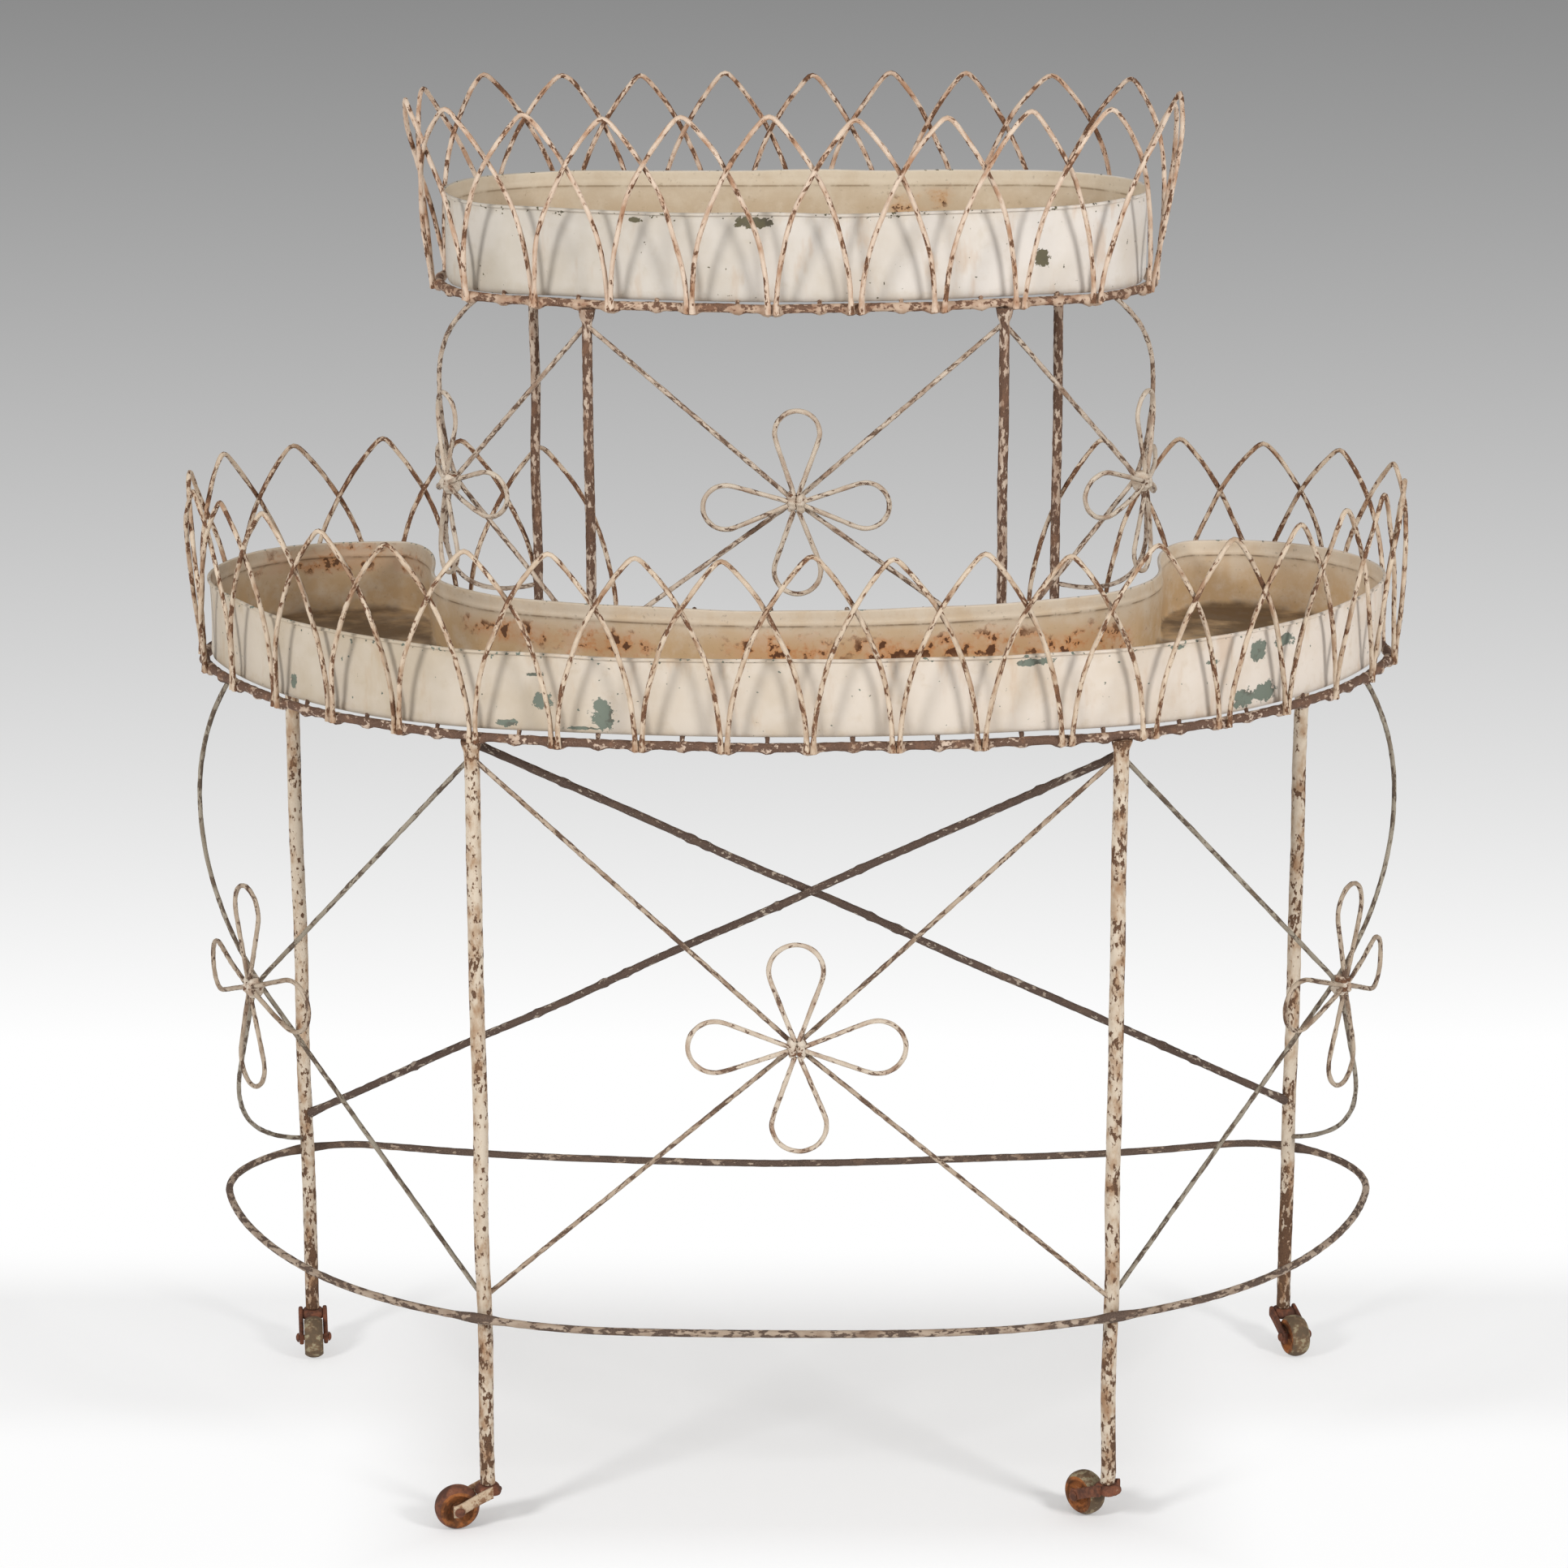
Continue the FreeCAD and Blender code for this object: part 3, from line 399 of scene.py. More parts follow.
class Shell:
    """Collects grids of points into one mesh, with the values that its finish reads at each point.

    The values are course, which unrolls a rod (length along it, then the two coordinates of its own
    section), and wear, which says how badly the coat has suffered there.
    """

    def __init__(self) -> None:
        """Starts with nothing."""
        self.points: list[Array] = []
        self.courses: list[Array] = []
        self.wears: list[Array] = []
        self.faces: list[list[int]] = []
        self.finishes: list[int] = []
        self.count = 0

    def grid(
        self, points: Array, wrap_rows: bool = False, wrap_columns: bool = False, capped: bool = False,
        course: Array | None = None, wear: Array | float = 0.0, finish: Array | int = 0,
    ) -> None:
        """Adds a grid of points; its outside is on the side of row direction crossed with column's.

        Args:
            points: rows by columns by three.
            wrap_rows: whether the last row joins the first.
            wrap_columns: whether the last column joins the first.
            capped: whether the two open ends are closed by one flat face each.
            course: the unrolled coordinates, or none where the points themselves serve.
            wear: how worn each point is, from 0 to 1.
            finish: which material the faces take, one number or one for each column.
        """
        rows, columns = points.shape[:2]
        index = np.arange(rows * columns).reshape(rows, columns) + self.count
        down = np.roll(index, -1, 0) if wrap_rows else index[1:]
        here = index if wrap_rows else index[:-1]
        if wrap_columns:
            quads = np.stack([here, down, np.roll(down, -1, 1), np.roll(here, -1, 1)], axis=-1)
        else:
            quads = np.stack([here[:, :-1], down[:, :-1], down[:, 1:], here[:, 1:]], axis=-1)
        finishes = np.broadcast_to(np.asarray(finish), (rows, columns))[: quads.shape[0], : quads.shape[1]]
        self.faces += quads.reshape(-1, 4).tolist()
        self.finishes += finishes.reshape(-1).tolist()
        if capped and wrap_columns:
            self.faces += [index[0].tolist(), index[-1][::-1].tolist()]
        if capped and not wrap_columns:
            self.faces += [index[::-1, 0].tolist(), index[:, -1].tolist()]
        if capped:
            self.finishes += [int(finishes[0, 0]), int(finishes[0, -1])]
        self.points.append(points.reshape(-1, 3))
        self.courses.append((points if course is None else course).reshape(-1, 3))
        self.wears.append(np.broadcast_to(wear, (rows, columns)).reshape(-1))
        self.count += rows * columns

    def rods(
        self, paths: Array, reference: Array, stock: Stock, draws: Draws,
        closed: bool = False, swell: Array | float = 0.0, wear: Array | float = 0.0,
    ) -> None:
        """Adds uneven round rods along paths.

        A point is the path's plus the radius times (cos turn * across + sin turn * out), where
        across is the tangent crossed with the reference and out is across crossed with the tangent.

        Args:
            paths: one path, or several of as many points.
            reference: a direction that never runs along the path, one or one for each point.
            stock: the rod.
            draws: where random numbers come from.
            closed: whether each path joins its own start.
            swell: how much each place is thicker than the rod.
            wear: how worn each place is, from 0 to 1.
        """
        paths = paths.reshape((-1,) + paths.shape[-2:])
        if closed:
            tangent = np.roll(paths, -1, -2) - np.roll(paths, 1, -2)
        else:
            tangent = np.gradient(paths, axis=-2)
        tangent = unit(tangent)
        across = unit(np.cross(tangent, np.broadcast_to(reference, paths.shape)))
        out = np.cross(across, tangent)
        turns = all_turns(stock.sides)
        along = run_lengths(paths)
        whole = float(along[0, -1] + np.linalg.norm(paths[0, 0] - paths[0, -1])) if closed else 0.0
        lumps = Unevenness(draws).over(along, turns, whole)
        swelling = np.broadcast_to(swell, along.shape)[..., None]
        radius = (stock.radius * (1 + stock.lump * lumps) + swelling)[..., None]
        cosine, sine = np.cos(turns)[:, None], np.sin(turns)[:, None]
        spokes = across[..., None, :] * cosine + out[..., None, :] * sine
        points = paths[..., None, :] + radius * spokes
        shift = draws.uniform(0, COURSE_SPREAD, len(paths))
        wears = np.broadcast_to(wear, along.shape)
        section = np.stack([np.zeros_like(turns), np.cos(turns), np.sin(turns)], axis=-1) * stock.radius
        for rings, lengths, start, worn in zip(points, along, shift, wears):
            course = section + (lengths + start)[:, None, None] * np.array([1.0, 0, 0])
            self.grid(rings, closed, True, not closed, course, worn[:, None])

    def lathe(
        self, profile: Array, origin: Array, axis: Array, turns: int = 32, loop: bool = False,
        radial: Array | float = 1.0, finish: Array | int = 0,
    ) -> None:
        """Adds a turned form: origin plus height along the axis plus radius times a turning spoke.

        Args:
            profile: pairs of radius and height, upwards on the outside.
            origin: where height is zero.
            axis: the axis's direction.
            turns: steps in a full turn.
            loop: whether the profile joins its own start, as on a ring.
            radial: a factor on the radius, by turn and by profile point.
            finish: which material the faces take, one number or one for each profile point.
        """
        axis = unit(np.asarray(axis, float))
        helper = np.array([1.0, 0, 0]) if abs(axis[2]) > 0.5 else UP
        side = unit(np.cross(axis, helper))
        other = np.cross(axis, side)
        angle = all_turns(turns)[:, None, None]
        spoke = np.cos(angle) * side + np.sin(angle) * other
        reach = profile[None, :, 0] * np.broadcast_to(radial, (turns, len(profile)))
        points = origin + profile[None, :, 1, None] * axis + reach[..., None] * spoke
        self.grid(points, True, loop, not loop, finish=finish)

    def build(
        self, name: str, body: str, slot: Slot, finishes: Sequence[Material], *replaced: str,
        sharp: float = 50.0,
    ) -> Object:
        """Makes the mesh, puts it in the scene and ties it to its body.

        Args:
            name: the piece's name.
            body: the CAD body that it rides on.
            slot: the record's material slot; not used.
            finishes: its materials.
            replaced: CAD nodes that it stands for.
            sharp: edges that turn by more degrees than this are sharp.

        Returns:
            The piece.
        """
        points = np.concatenate(self.points)
        mesh = bpy.data.meshes.new(name)
        mesh.from_pydata(points.tolist(), [], self.faces)
        course = mesh.attributes.new("course", "FLOAT_VECTOR", "POINT")
        course.data.foreach_set("vector", np.concatenate(self.courses).astype(np.float32).ravel())
        wear = mesh.attributes.new("wear", "FLOAT", "POINT")
        wear.data.foreach_set("value", np.concatenate(self.wears).astype(np.float32))
        for finish in finishes:
            mesh.materials.append(finish)
        mesh.polygons.foreach_set("material_index", np.array(self.finishes, np.int32))
        mesh.shade_smooth()
        mesh.set_sharp_from_angle(angle=math.radians(sharp))
        mesh.update()
        piece = bpy.data.objects.new(name, mesh)
        bpy.context.scene.collection.objects.link(piece)
        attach(piece, body)
        if replaced:
            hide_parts(*replaced)
        log.info("%s: %d faces", name, len(self.faces))
        return piece


def linear(colour: Colour) -> tuple[float, ...]:
    """A colour as a screen shows it, from 0 to 255, made linear for the shader."""
    shown = np.array(colour) / 255
    return (*np.where(shown <= 0.04045, shown / 12.92, ((shown + 0.055) / 1.055) ** 2.4).tolist(), 1.0)


@dataclass(frozen=True)
class Term:
    """A value in a shader, on which Python's operators add Math nodes."""

    graph: "Graph"
    socket: bpy.types.NodeSocket

    def math(self, operation: str, *others: Value, clamp: bool = False) -> "Term":
        """The result of a Math node on this value and others, held between 0 and 1 if clamped."""
        values = dict(enumerate((self, *others)))
        return self.graph.term("ShaderNodeMath", {"operation": operation, "use_clamp": clamp}, values)

    def __add__(self, other: Value) -> "Term":
        """Sum."""
        return self.math("ADD", other)

    __radd__ = __add__

    def __mul__(self, other: Value) -> "Term":
        """Product."""
        return self.math("MULTIPLY", other)

    __rmul__ = __mul__

    def __sub__(self, other: Value) -> "Term":
        """Difference."""
        return self.math("SUBTRACT", other)

    def __rsub__(self, other: float) -> "Term":
        """A number less this value."""
        return (self * -1.0) + other

    def most(self, other: Value) -> "Term":
        """The larger of two values."""
        return self.math("MAXIMUM", other)

    def step(self, low: float, high: float) -> "Term":
        """A smooth step: 0 below low, 1 above high."""
        settings = {"interpolation_type": "SMOOTHSTEP"}
        return self.graph.term("ShaderNodeMapRange", settings, {0: self, 1: low, 2: high, 3: 0.0, 4: 1.0})


class Graph:
    """A material's node tree, with one method that adds any node."""

    def __init__(self, name: str) -> None:
        """Starts an empty material.

        Args:
            name: the material's name.
        """
        self.material = bpy.data.materials.new(name)
        self.material.use_nodes = True
        self.tree = self.material.node_tree
        self.tree.nodes.clear()

    def node(
        self, kind: str, settings: dict[str, Any] | None = None, values: dict[Any, Any] | None = None,
    ) -> bpy.types.Node:
        """Adds a node.

        Args:
            kind: the node's type.
            settings: its settings, which are set first.
            values: by socket number or name, a number, a colour or a term to link.

        Returns:
            The node.
        """
        node = self.tree.nodes.new(kind)
        for name, setting in (settings or {}).items():
            setattr(node, name, setting)
        for key, value in (values or {}).items():
            if isinstance(value, Term):
                self.tree.links.new(value.socket, node.inputs[key])
            else:
                node.inputs[key].default_value = value
        return node

    def term(
        self, kind: str, settings: dict[str, Any] | None = None, values: dict[Any, Any] | None = None,
        output: int | str = 0,
    ) -> Term:
        """Adds a node and gives one of its outputs as a value."""
        return Term(self, self.node(kind, settings, values).outputs[output])

    def place(self) -> Term:
        """The point on the piece, in metres."""
        return self.term("ShaderNodeTexCoord", output="Object")

    def coordinate(self, place: Term, axis: int) -> Term:
        """One coordinate of a point: 0 for x, 1 for y, 2 for z."""
        return self.term("ShaderNodeSeparateXYZ", None, {0: place}, axis)

    def attribute(self, name: str, output: str = "Fac") -> Term:
        """A value that the mesh holds at its points."""
        return self.term("ShaderNodeAttribute", {"attribute_name": name}, output=output)

    def vector(self, operation: str, *values: Any, output: int | str = 0) -> Term:
        """The result of a Vector Math node."""
        return self.term("ShaderNodeVectorMath", {"operation": operation}, dict(enumerate(values)), output)

    def noise(self, place: Term, size: float, detail: float = 3.0, rough: float = 0.55) -> Term:
        """Cloudy noise round 0.5, its features of a size in metres, with finer octaves as rough says."""
        values = {"Vector": place, "Scale": 1 / size, "Detail": detail, "Roughness": rough}
        return self.term("ShaderNodeTexNoise", None, values)

    def mix(self, factor: Value, first: Term | Colour, second: Term | Colour) -> Term:
        """A blend of two colours: the first where the factor is 0."""
        ends = [value if isinstance(value, Term) else linear(value) for value in (first, second)]
        return self.term("ShaderNodeMix", {"data_type": "RGBA"}, {0: factor, 6: ends[0], 7: ends[1]}, 2)

    def finish(self, colour: Term, rough: Term, height: Term, depth: float) -> Material:
        """Ends the material in one shader with a bumped surface.

        Args:
            colour: the surface's colour.
            rough: its roughness.
            height: the relief, from 0 to 1.
            depth: how deep the relief is, in metres.

        Returns:
            The material.
        """
        relief = self.term("ShaderNodeBump", None, {"Height": height, "Distance": depth, "Strength": 1.0})
        values = {"Base Color": colour, "Roughness": rough, "Normal": relief, "Specular IOR Level": 0.3}
        shader = self.term("ShaderNodeBsdfPrincipled", None, values)
        self.node("ShaderNodeOutputMaterial", None, {"Surface": shader})
        return self.material


@dataclass(frozen=True)
class ChippedPaint:
    """Old paint on a rod: a mottled coat, rust that bleeds through it, chips down to the iron.

    Chipped and bled are shares of what can be lost or stained, and a chip is so many metres across
    and stretched so many times along the rod.
    """

    name: str
    coat: Colour
    soiled: Colour
    bleed: Colour
    iron: Colour
    pit: Colour
    chipped: float
    bled: float = 0.5
    chip: float = 4.5 * MM
    stretch: float = 2.4

    def make(self) -> Material:
        """Makes the material.

        The rod's unrolled coordinates are squeezed along it, so that chips run lengthwise. A chip
        is where fine noise, raised by the wear and by a slow noise, passes a threshold.

        Returns:
            The material.
        """
        graph = Graph(self.name)
        course = graph.attribute("course", "Vector")
        course = graph.vector("MULTIPLY", course, (1 / self.stretch, 1.0, 1.0))
        wear = graph.attribute("wear")
        slow = graph.noise(course, self.chip * 7, 2.0)
        mottle = graph.noise(course, self.chip * 2.6, 4.0)
        fine = graph.noise(course, self.chip, 5.0, 0.6)
        grain = graph.noise(course, self.chip / 9, 3.0)
        threshold = 0.5 + 0.24 * (0.5 - self.chipped)
        worn = fine + (slow - 0.5) * 0.45 + (wear - 0.25) * 0.16
        chips = worn.step(threshold, threshold + 0.022)
        edge = worn.step(threshold - 0.05, threshold)
        rusting = mottle + (slow - 0.5) * 0.3 + (wear - 0.25) * 0.2
        bleeding = rusting.step(0.62 - self.bled * 0.2, 0.75)
        coat = graph.mix(mottle.step(0.35, 0.7), self.coat, self.soiled)
        coat = graph.mix(grain.step(0.45, 0.8) * 0.35, coat, self.soiled)
        coat = graph.mix(bleeding * 0.75, coat, self.bleed)
        coat = graph.mix(edge * 0.45, coat, self.bleed)
        iron = graph.mix(grain.step(0.42, 0.62), self.iron, self.pit)
        iron = graph.mix(mottle.step(0.52, 0.72) * 0.5, iron, self.bleed)
        colour = graph.mix(chips, coat, iron)
        rough = chips * 0.25 + grain * 0.1 + 0.52
        height = (1 - chips) * 0.7 + grain * 0.3
        return graph.finish(colour, rough, height, 0.35 * MM)


@dataclass(frozen=True)
class Blemish:
    """A spot where a sheet's paint has flaked off, or a stain: its middle and its three radii."""

    middle: Triple
    reach: Triple


def blemishes(*rows: tuple[float, ...]) -> tuple[Blemish, ...]:
    """Blemishes from rows of millimetres: the three of the middle, then the three radii."""
    places = np.array(rows) * MM
    return tuple(Blemish(tuple(row[:3].tolist()), tuple(row[3:].tolist())) for row in places)


def blemish_mask(
    graph: Graph, place: Term, ragged: Term, spots: Sequence[Blemish], soft: float,
    raggedness: float = 3.0,
) -> Term:
    """Where any of the spots covers the sheet.

    Its edge is where the distance from the middle, in radii, with noise added, comes to 1.

    Args:
        graph: the material's graph.
        place: the point on the piece.
        ragged: noise that makes the edges ragged.
        spots: the flakes or stains.
        soft: how gradual the edge is, in radii.
        raggedness: how far the noise shifts the edge, in radii.

    Returns:
        1 inside and 0 outside.
    """
    lengths = []
    for spot in spots:
        away = graph.vector("SUBTRACT", place, spot.middle)
        shares = graph.vector("DIVIDE", away, spot.reach)
        lengths.append(graph.vector("LENGTH", shares, output="Value"))
    nearest = lengths[0]
    for length in lengths[1:]:
        nearest = nearest.math("MINIMUM", length)
    return 1 - (nearest + (ragged - 0.5) * raggedness).step(1.0 - soft, 1.0 + soft)


@dataclass(frozen=True)
class PaintedSheet:
    """The outside of a liner: cream paint with faint dirt and drips, darker and yellower towards the
    stand's left as painted shade, and flakes off where it was knocked."""

    name: str
    coat: Colour
    soiled: Colour
    bare: Colour
    shade: Colour
    half_width: float
    floor: float
    rim: float
    flakes: tuple[Blemish, ...]
    streak: Colour = (192, 156, 120)
    bare_grime: Colour = (84, 78, 68)

    def make(self) -> Material:
        """Makes the material, with more dirt and dark specks near the rim and the floor's edge.

        Returns:
            The material.
        """
        graph = Graph(self.name)
        place = graph.place()
        height, across = graph.coordinate(place, 2), graph.coordinate(place, 0)
        cloud = graph.noise(place, 60 * MM, 4.0)
        grime = graph.noise(place, 14 * MM, 5.0, 0.65)
        speck = graph.noise(place, 5 * MM, 2.0)
        ragged = graph.noise(place, 7 * MM, 5.0, 0.7)
        drips = graph.noise(graph.vector("MULTIPLY", place, (1.0, 1.0, 0.3)), 22 * MM, 4.0, 0.6)
        # Painted shade: full at the stand's left end, gone at its right end.
        painted_left_shade = 1 - across.step(-self.half_width, self.half_width)
        near_rim = height.step(self.rim - 12 * MM, self.rim)
        near_floor = 1 - height.step(self.floor, self.floor + 7 * MM)
        coat = graph.mix(cloud.step(0.4, 0.72) * 0.55, self.coat, self.soiled)
        dirt = grime + near_floor * 0.12 + near_rim * 0.2
        coat = graph.mix(dirt.step(0.52, 0.78) * 0.5, coat, self.soiled)
        coat = graph.mix(drips.step(0.55, 0.72) * 0.4, coat, self.streak)
        # Painted shade: the shade colour laid over the stand's left side.
        coat = graph.mix(painted_left_shade * (cloud * 0.4 + 0.2), coat, self.shade)
        specks = (speck + near_rim * 0.09 + (cloud - 0.5) * 0.1).step(0.72, 0.75)
        flaked = specks.most(blemish_mask(graph, place, ragged, self.flakes, soft=0.03))
        bare = graph.mix(grime.step(0.5, 0.6) * 0.6, self.bare, self.bare_grime)
        colour = graph.mix(flaked, coat, bare)
        rough = flaked * 0.2 + grime * 0.15 + 0.42
        return graph.finish(colour, rough, (1 - flaked) * 0.6 + grime * 0.4, 0.25 * MM)


@dataclass(frozen=True)
class StainedSheet:
    """The inside of a liner: paint stained by years of soil, with rust and a dark line of painted shade
    under the bead. Painted shade in the soil's colour darkens it towards the stand's left, fully so at the
    left shade reach from the middle."""

    name: str
    coat: Colour
    stain: Colour
    soil: Colour
    rust: Colour
    # How far left of the middle the painted shade on the left side is full.
    weather_reach: float
    floor: float
    rim: float
    soil_line: float
    stain_reach: float
    rusted: tuple[Blemish, ...]
    scab: Colour = (78, 44, 26)

    def make(self) -> Material:
        """Makes the material: height above the floor, with noise added, picks soil, stain or coat.

        Returns:
            The material.
        """
        graph = Graph(self.name)
        place = graph.place()
        height, across = graph.coordinate(place, 2), graph.coordinate(place, 0)
        # Painted shade towards the stand's left: full at the left shade reach, gone at the middle.
        painted_left_shade = 1 - across.step(-self.weather_reach, 0.0)
        cloud = graph.noise(place, 70 * MM, 4.0)
        blotch = graph.noise(place, 22 * MM, 5.0, 0.65)
        grain = graph.noise(place, 5 * MM, 5.0, 0.65)
        lifted = height + (cloud - 0.5) * 26 * MM + (blotch - 0.5) * 12 * MM
        soil_top = self.floor + self.soil_line
        soiled = 1 - lifted.step(soil_top - 3 * MM, soil_top + 5 * MM)
        stained = 1 - lifted.step(self.floor + self.stain_reach, self.rim + 6 * MM)
        colour = graph.mix(blotch.step(0.4, 0.75) * 0.45, self.coat, self.stain)
        colour = graph.mix(stained * (blotch.step(0.3, 0.6) * 0.5 + 0.4), colour, self.stain)
        rusty = blemish_mask(graph, place, blotch, self.rusted, soft=0.5)
        spots = graph.noise(place, 12 * MM, 3.0, 0.6) + (grain - 0.5) * 0.2
        colour = graph.mix(rusty * 0.35, colour, self.rust)
        colour = graph.mix(rusty * spots.step(0.45, 0.58) * 0.75, colour, self.rust)
        colour = graph.mix(rusty * spots.step(0.57, 0.6) * 0.92, colour, self.scab)
        # Painted shade: the soil colour laid over the stand's left side.
        colour = graph.mix(painted_left_shade * (cloud * 0.5 + 0.15), colour, self.soil)
        colour = graph.mix(soiled * 0.85, colour, self.soil)
        colour = graph.mix(grain.step(0.6, 0.72) * 0.35, colour, self.soil)
        # Painted shade: the dirt mask here is a dark line, in the soil's colour, on the underside of the
        # bead, where its shade falls.
        below_bead = (height - (self.rim - BEAD_DROP - 1.5 * MM)).math("ABSOLUTE")
        dirt = (1 - below_bead.step(0.3 * MM, 1.3 * MM)) * blotch.step(0.35, 0.55)
        colour = graph.mix(dirt * 0.6, colour, self.soil)
        rough = soiled * 0.3 + blotch * 0.2 + 0.5
        return graph.finish(colour, rough, grain * 0.6 + blotch * 0.4, 0.3 * MM)


@dataclass(frozen=True)
class RustedIron:
    """Cast and forged iron that lost its paint: dark and orange rust, with dusty remains of the coat."""

    name: str
    dark: Colour
    orange: Colour
    dusty: Colour
    dust: float

    def make(self) -> Material:
        """Makes the material from three sizes of noise.

        Returns:
            The material.
        """
        graph = Graph(self.name)
        place = graph.place()
        cloud = graph.noise(place, 13 * MM, 3.0)
        blotch = graph.noise(place, 5 * MM, 5.0, 0.6)
        grain = graph.noise(place, 1.2 * MM, 3.0)
        colour = graph.mix((cloud * 0.6 + blotch * 0.4).step(0.42, 0.6), self.dark, self.orange)
        dust = (blotch * 0.55 + cloud * 0.45).step(0.66 - self.dust * 0.2, 0.72 - self.dust * 0.18)
        colour = graph.mix(dust * 0.85, colour, self.dusty)
        colour = graph.mix(grain.step(0.5, 0.7) * 0.4, colour, self.dark)
        rough = grain * 0.2 + 0.68
        return graph.finish(colour, rough, blotch * 0.6 + grain * 0.4, 0.5 * MM)


class Finishes:
    """All of the stand's materials, made once."""

    def __init__(self, lower_liner: Extent, upper_liner: Extent) -> None:
        """Makes the materials.

        Args:
            lower_liner: the box round the lower liner.
            upper_liner: the box round the upper liner.
        """
        lower_floor, lower_rim = float(lower_liner.low[2]), float(lower_liner.high[2])
        upper_floor, upper_rim = float(upper_liner.low[2]), float(upper_liner.high[2])
        lower_half, upper_half = float(lower_liner.size[0]) / 2, float(upper_liner.size[0]) / 2
        rust, pit = (126, 88, 62), (72, 50, 38)
        self.upper_gallery = ChippedPaint(
            "upper_gallery_paint", (216, 196, 176), (186, 154, 128), (160, 114, 82), rust, pit,
            chipped=0.24, bled=0.75, chip=3.2 * MM,
        ).make()
        self.lower_gallery = ChippedPaint(
            "lower_gallery_paint", (208, 190, 168), (172, 146, 120), (150, 110, 80), rust, pit,
            chipped=0.36, bled=0.75, chip=3.2 * MM,
        ).make()
        self.upper_wire = ChippedPaint(
            "upper_wire_paint", (200, 184, 166), (168, 147, 128), (142, 113, 92),
            (122, 98, 80), (90, 70, 58), chipped=0.28, bled=0.7, chip=2.6 * MM,
        ).make()
        self.front_wire = ChippedPaint(
            "front_wire_paint", (178, 160, 140), (148, 126, 105), (122, 95, 75),
            (108, 86, 70), (84, 64, 52), chipped=0.3, bled=0.7, chip=2.6 * MM,
        ).make()
        self.petal = ChippedPaint(
            "petal_paint", (204, 190, 172), (178, 158, 138), (148, 116, 94), (120, 94, 76), (88, 68, 56),
            chipped=0.2, bled=0.7, chip=3 * MM,
        ).make()
        self.side_petal = ChippedPaint(
            "side_petal_paint", (182, 165, 145), (148, 128, 108), (122, 94, 74),
            (106, 84, 68), (80, 60, 48), chipped=0.3, bled=0.7, chip=3 * MM,
        ).make()
        self.side_wire = ChippedPaint(
            "side_wire_paint", (158, 148, 132), (132, 122, 106), (118, 100, 82),
            (104, 90, 76), (82, 68, 58), chipped=0.34, bled=0.5, chip=4 * MM,
        ).make()
        self.leg = ChippedPaint(
            "leg_paint", (206, 192, 173), (178, 154, 128), (147, 108, 75), (110, 80, 58), (70, 50, 37),
            chipped=0.24, bled=0.85, chip=3.6 * MM, stretch=1.8,
        ).make()
        self.upright = ChippedPaint(
            "upright_rust", (200, 182, 164), (164, 138, 118), (136, 100, 76), (112, 84, 66), (80, 60, 50),
            chipped=0.8, bled=0.6, chip=3.5 * MM, stretch=2.4,
        ).make()
        self.lower_ring = ChippedPaint(
            "lower_ring_rust", (202, 182, 164), (160, 134, 112), (136, 100, 78),
            (112, 86, 70), (78, 57, 47), chipped=0.95, bled=0.5, chip=4 * MM, stretch=1.3,
        ).make()
        self.upper_ring = ChippedPaint(
            "upper_ring_rust", (194, 170, 148), (164, 132, 108), (146, 104, 78),
            (126, 94, 74), (82, 60, 48), chipped=0.55, bled=0.7, chip=4 * MM, stretch=1.3,
        ).make()
        self.hoop = ChippedPaint(
            "hoop_paint", (172, 154, 136), (146, 126, 108), (122, 98, 80), (102, 84, 72), (74, 60, 52),
            chipped=0.5, bled=0.6, chip=4 * MM, stretch=2.2,
        ).make()
        self.brace = ChippedPaint(
            "brace_rust", (178, 164, 148), (130, 112, 98), (108, 88, 74), (96, 78, 68), (72, 58, 50),
            chipped=0.88, bled=0.5, chip=3.5 * MM, stretch=2.2,
        ).make()
        self.knot = ChippedPaint(
            "knot_paint", (210, 198, 182), (186, 168, 148), (156, 122, 98), rust, pit, chipped=0.2,
        ).make()
        # The fourth colour of each outside is the painted shade towards the stand's left.
        self.lower_outside = PaintedSheet(
            "lower_liner_paint", (218, 207, 195), (200, 182, 160), (112, 120, 108),
            (150, 136, 104), lower_half, lower_floor, lower_rim, LOWER_FLAKES,
        ).make()
        self.upper_outside = PaintedSheet(
            "upper_liner_paint", (219, 212, 204), (202, 190, 174), (98, 92, 70),
            (150, 142, 122), upper_half, upper_floor, upper_rim, UPPER_FLAKES,
        ).make()
        # The third colour of each inside is the soil, used also for the painted shade on the left and under
        # the bead; the number after the four colours is the reach of the left shade.
        self.lower_inside = StainedSheet(
            "lower_liner_stains", (218, 204, 184), (198, 166, 124), (98, 76, 52),
            (196, 134, 82), lower_half, lower_floor, lower_rim,
            soil_line=2 * MM, stain_reach=20 * MM, rusted=LOWER_RUST,
        ).make()
        self.upper_inside = StainedSheet(
            "upper_liner_stains", (220, 206, 184), (196, 174, 144), (140, 118, 90),
            (196, 152, 108), 3 * upper_half, upper_floor, upper_rim,
            soil_line=4 * MM, stain_reach=30 * MM, rusted=UPPER_RUST,
        ).make()
        self.caster = RustedIron(
            "caster_rust", (84, 54, 42), (126, 78, 56), (160, 124, 100), dust=0.25,
        ).make()
        self.painted_arm = RustedIron(
            "arm_dust", (132, 98, 72), (160, 122, 92), (198, 178, 152), dust=1.0,
        ).make()
        self.tread = RustedIron(
            "tread_rust", (96, 80, 62), (128, 100, 74), (156, 146, 118), dust=0.8,
        ).make()
        self.hollow = RustedIron(
            "hollow_rust", (96, 58, 32), (158, 96, 50), (174, 126, 92), dust=0.2,
        ).make()


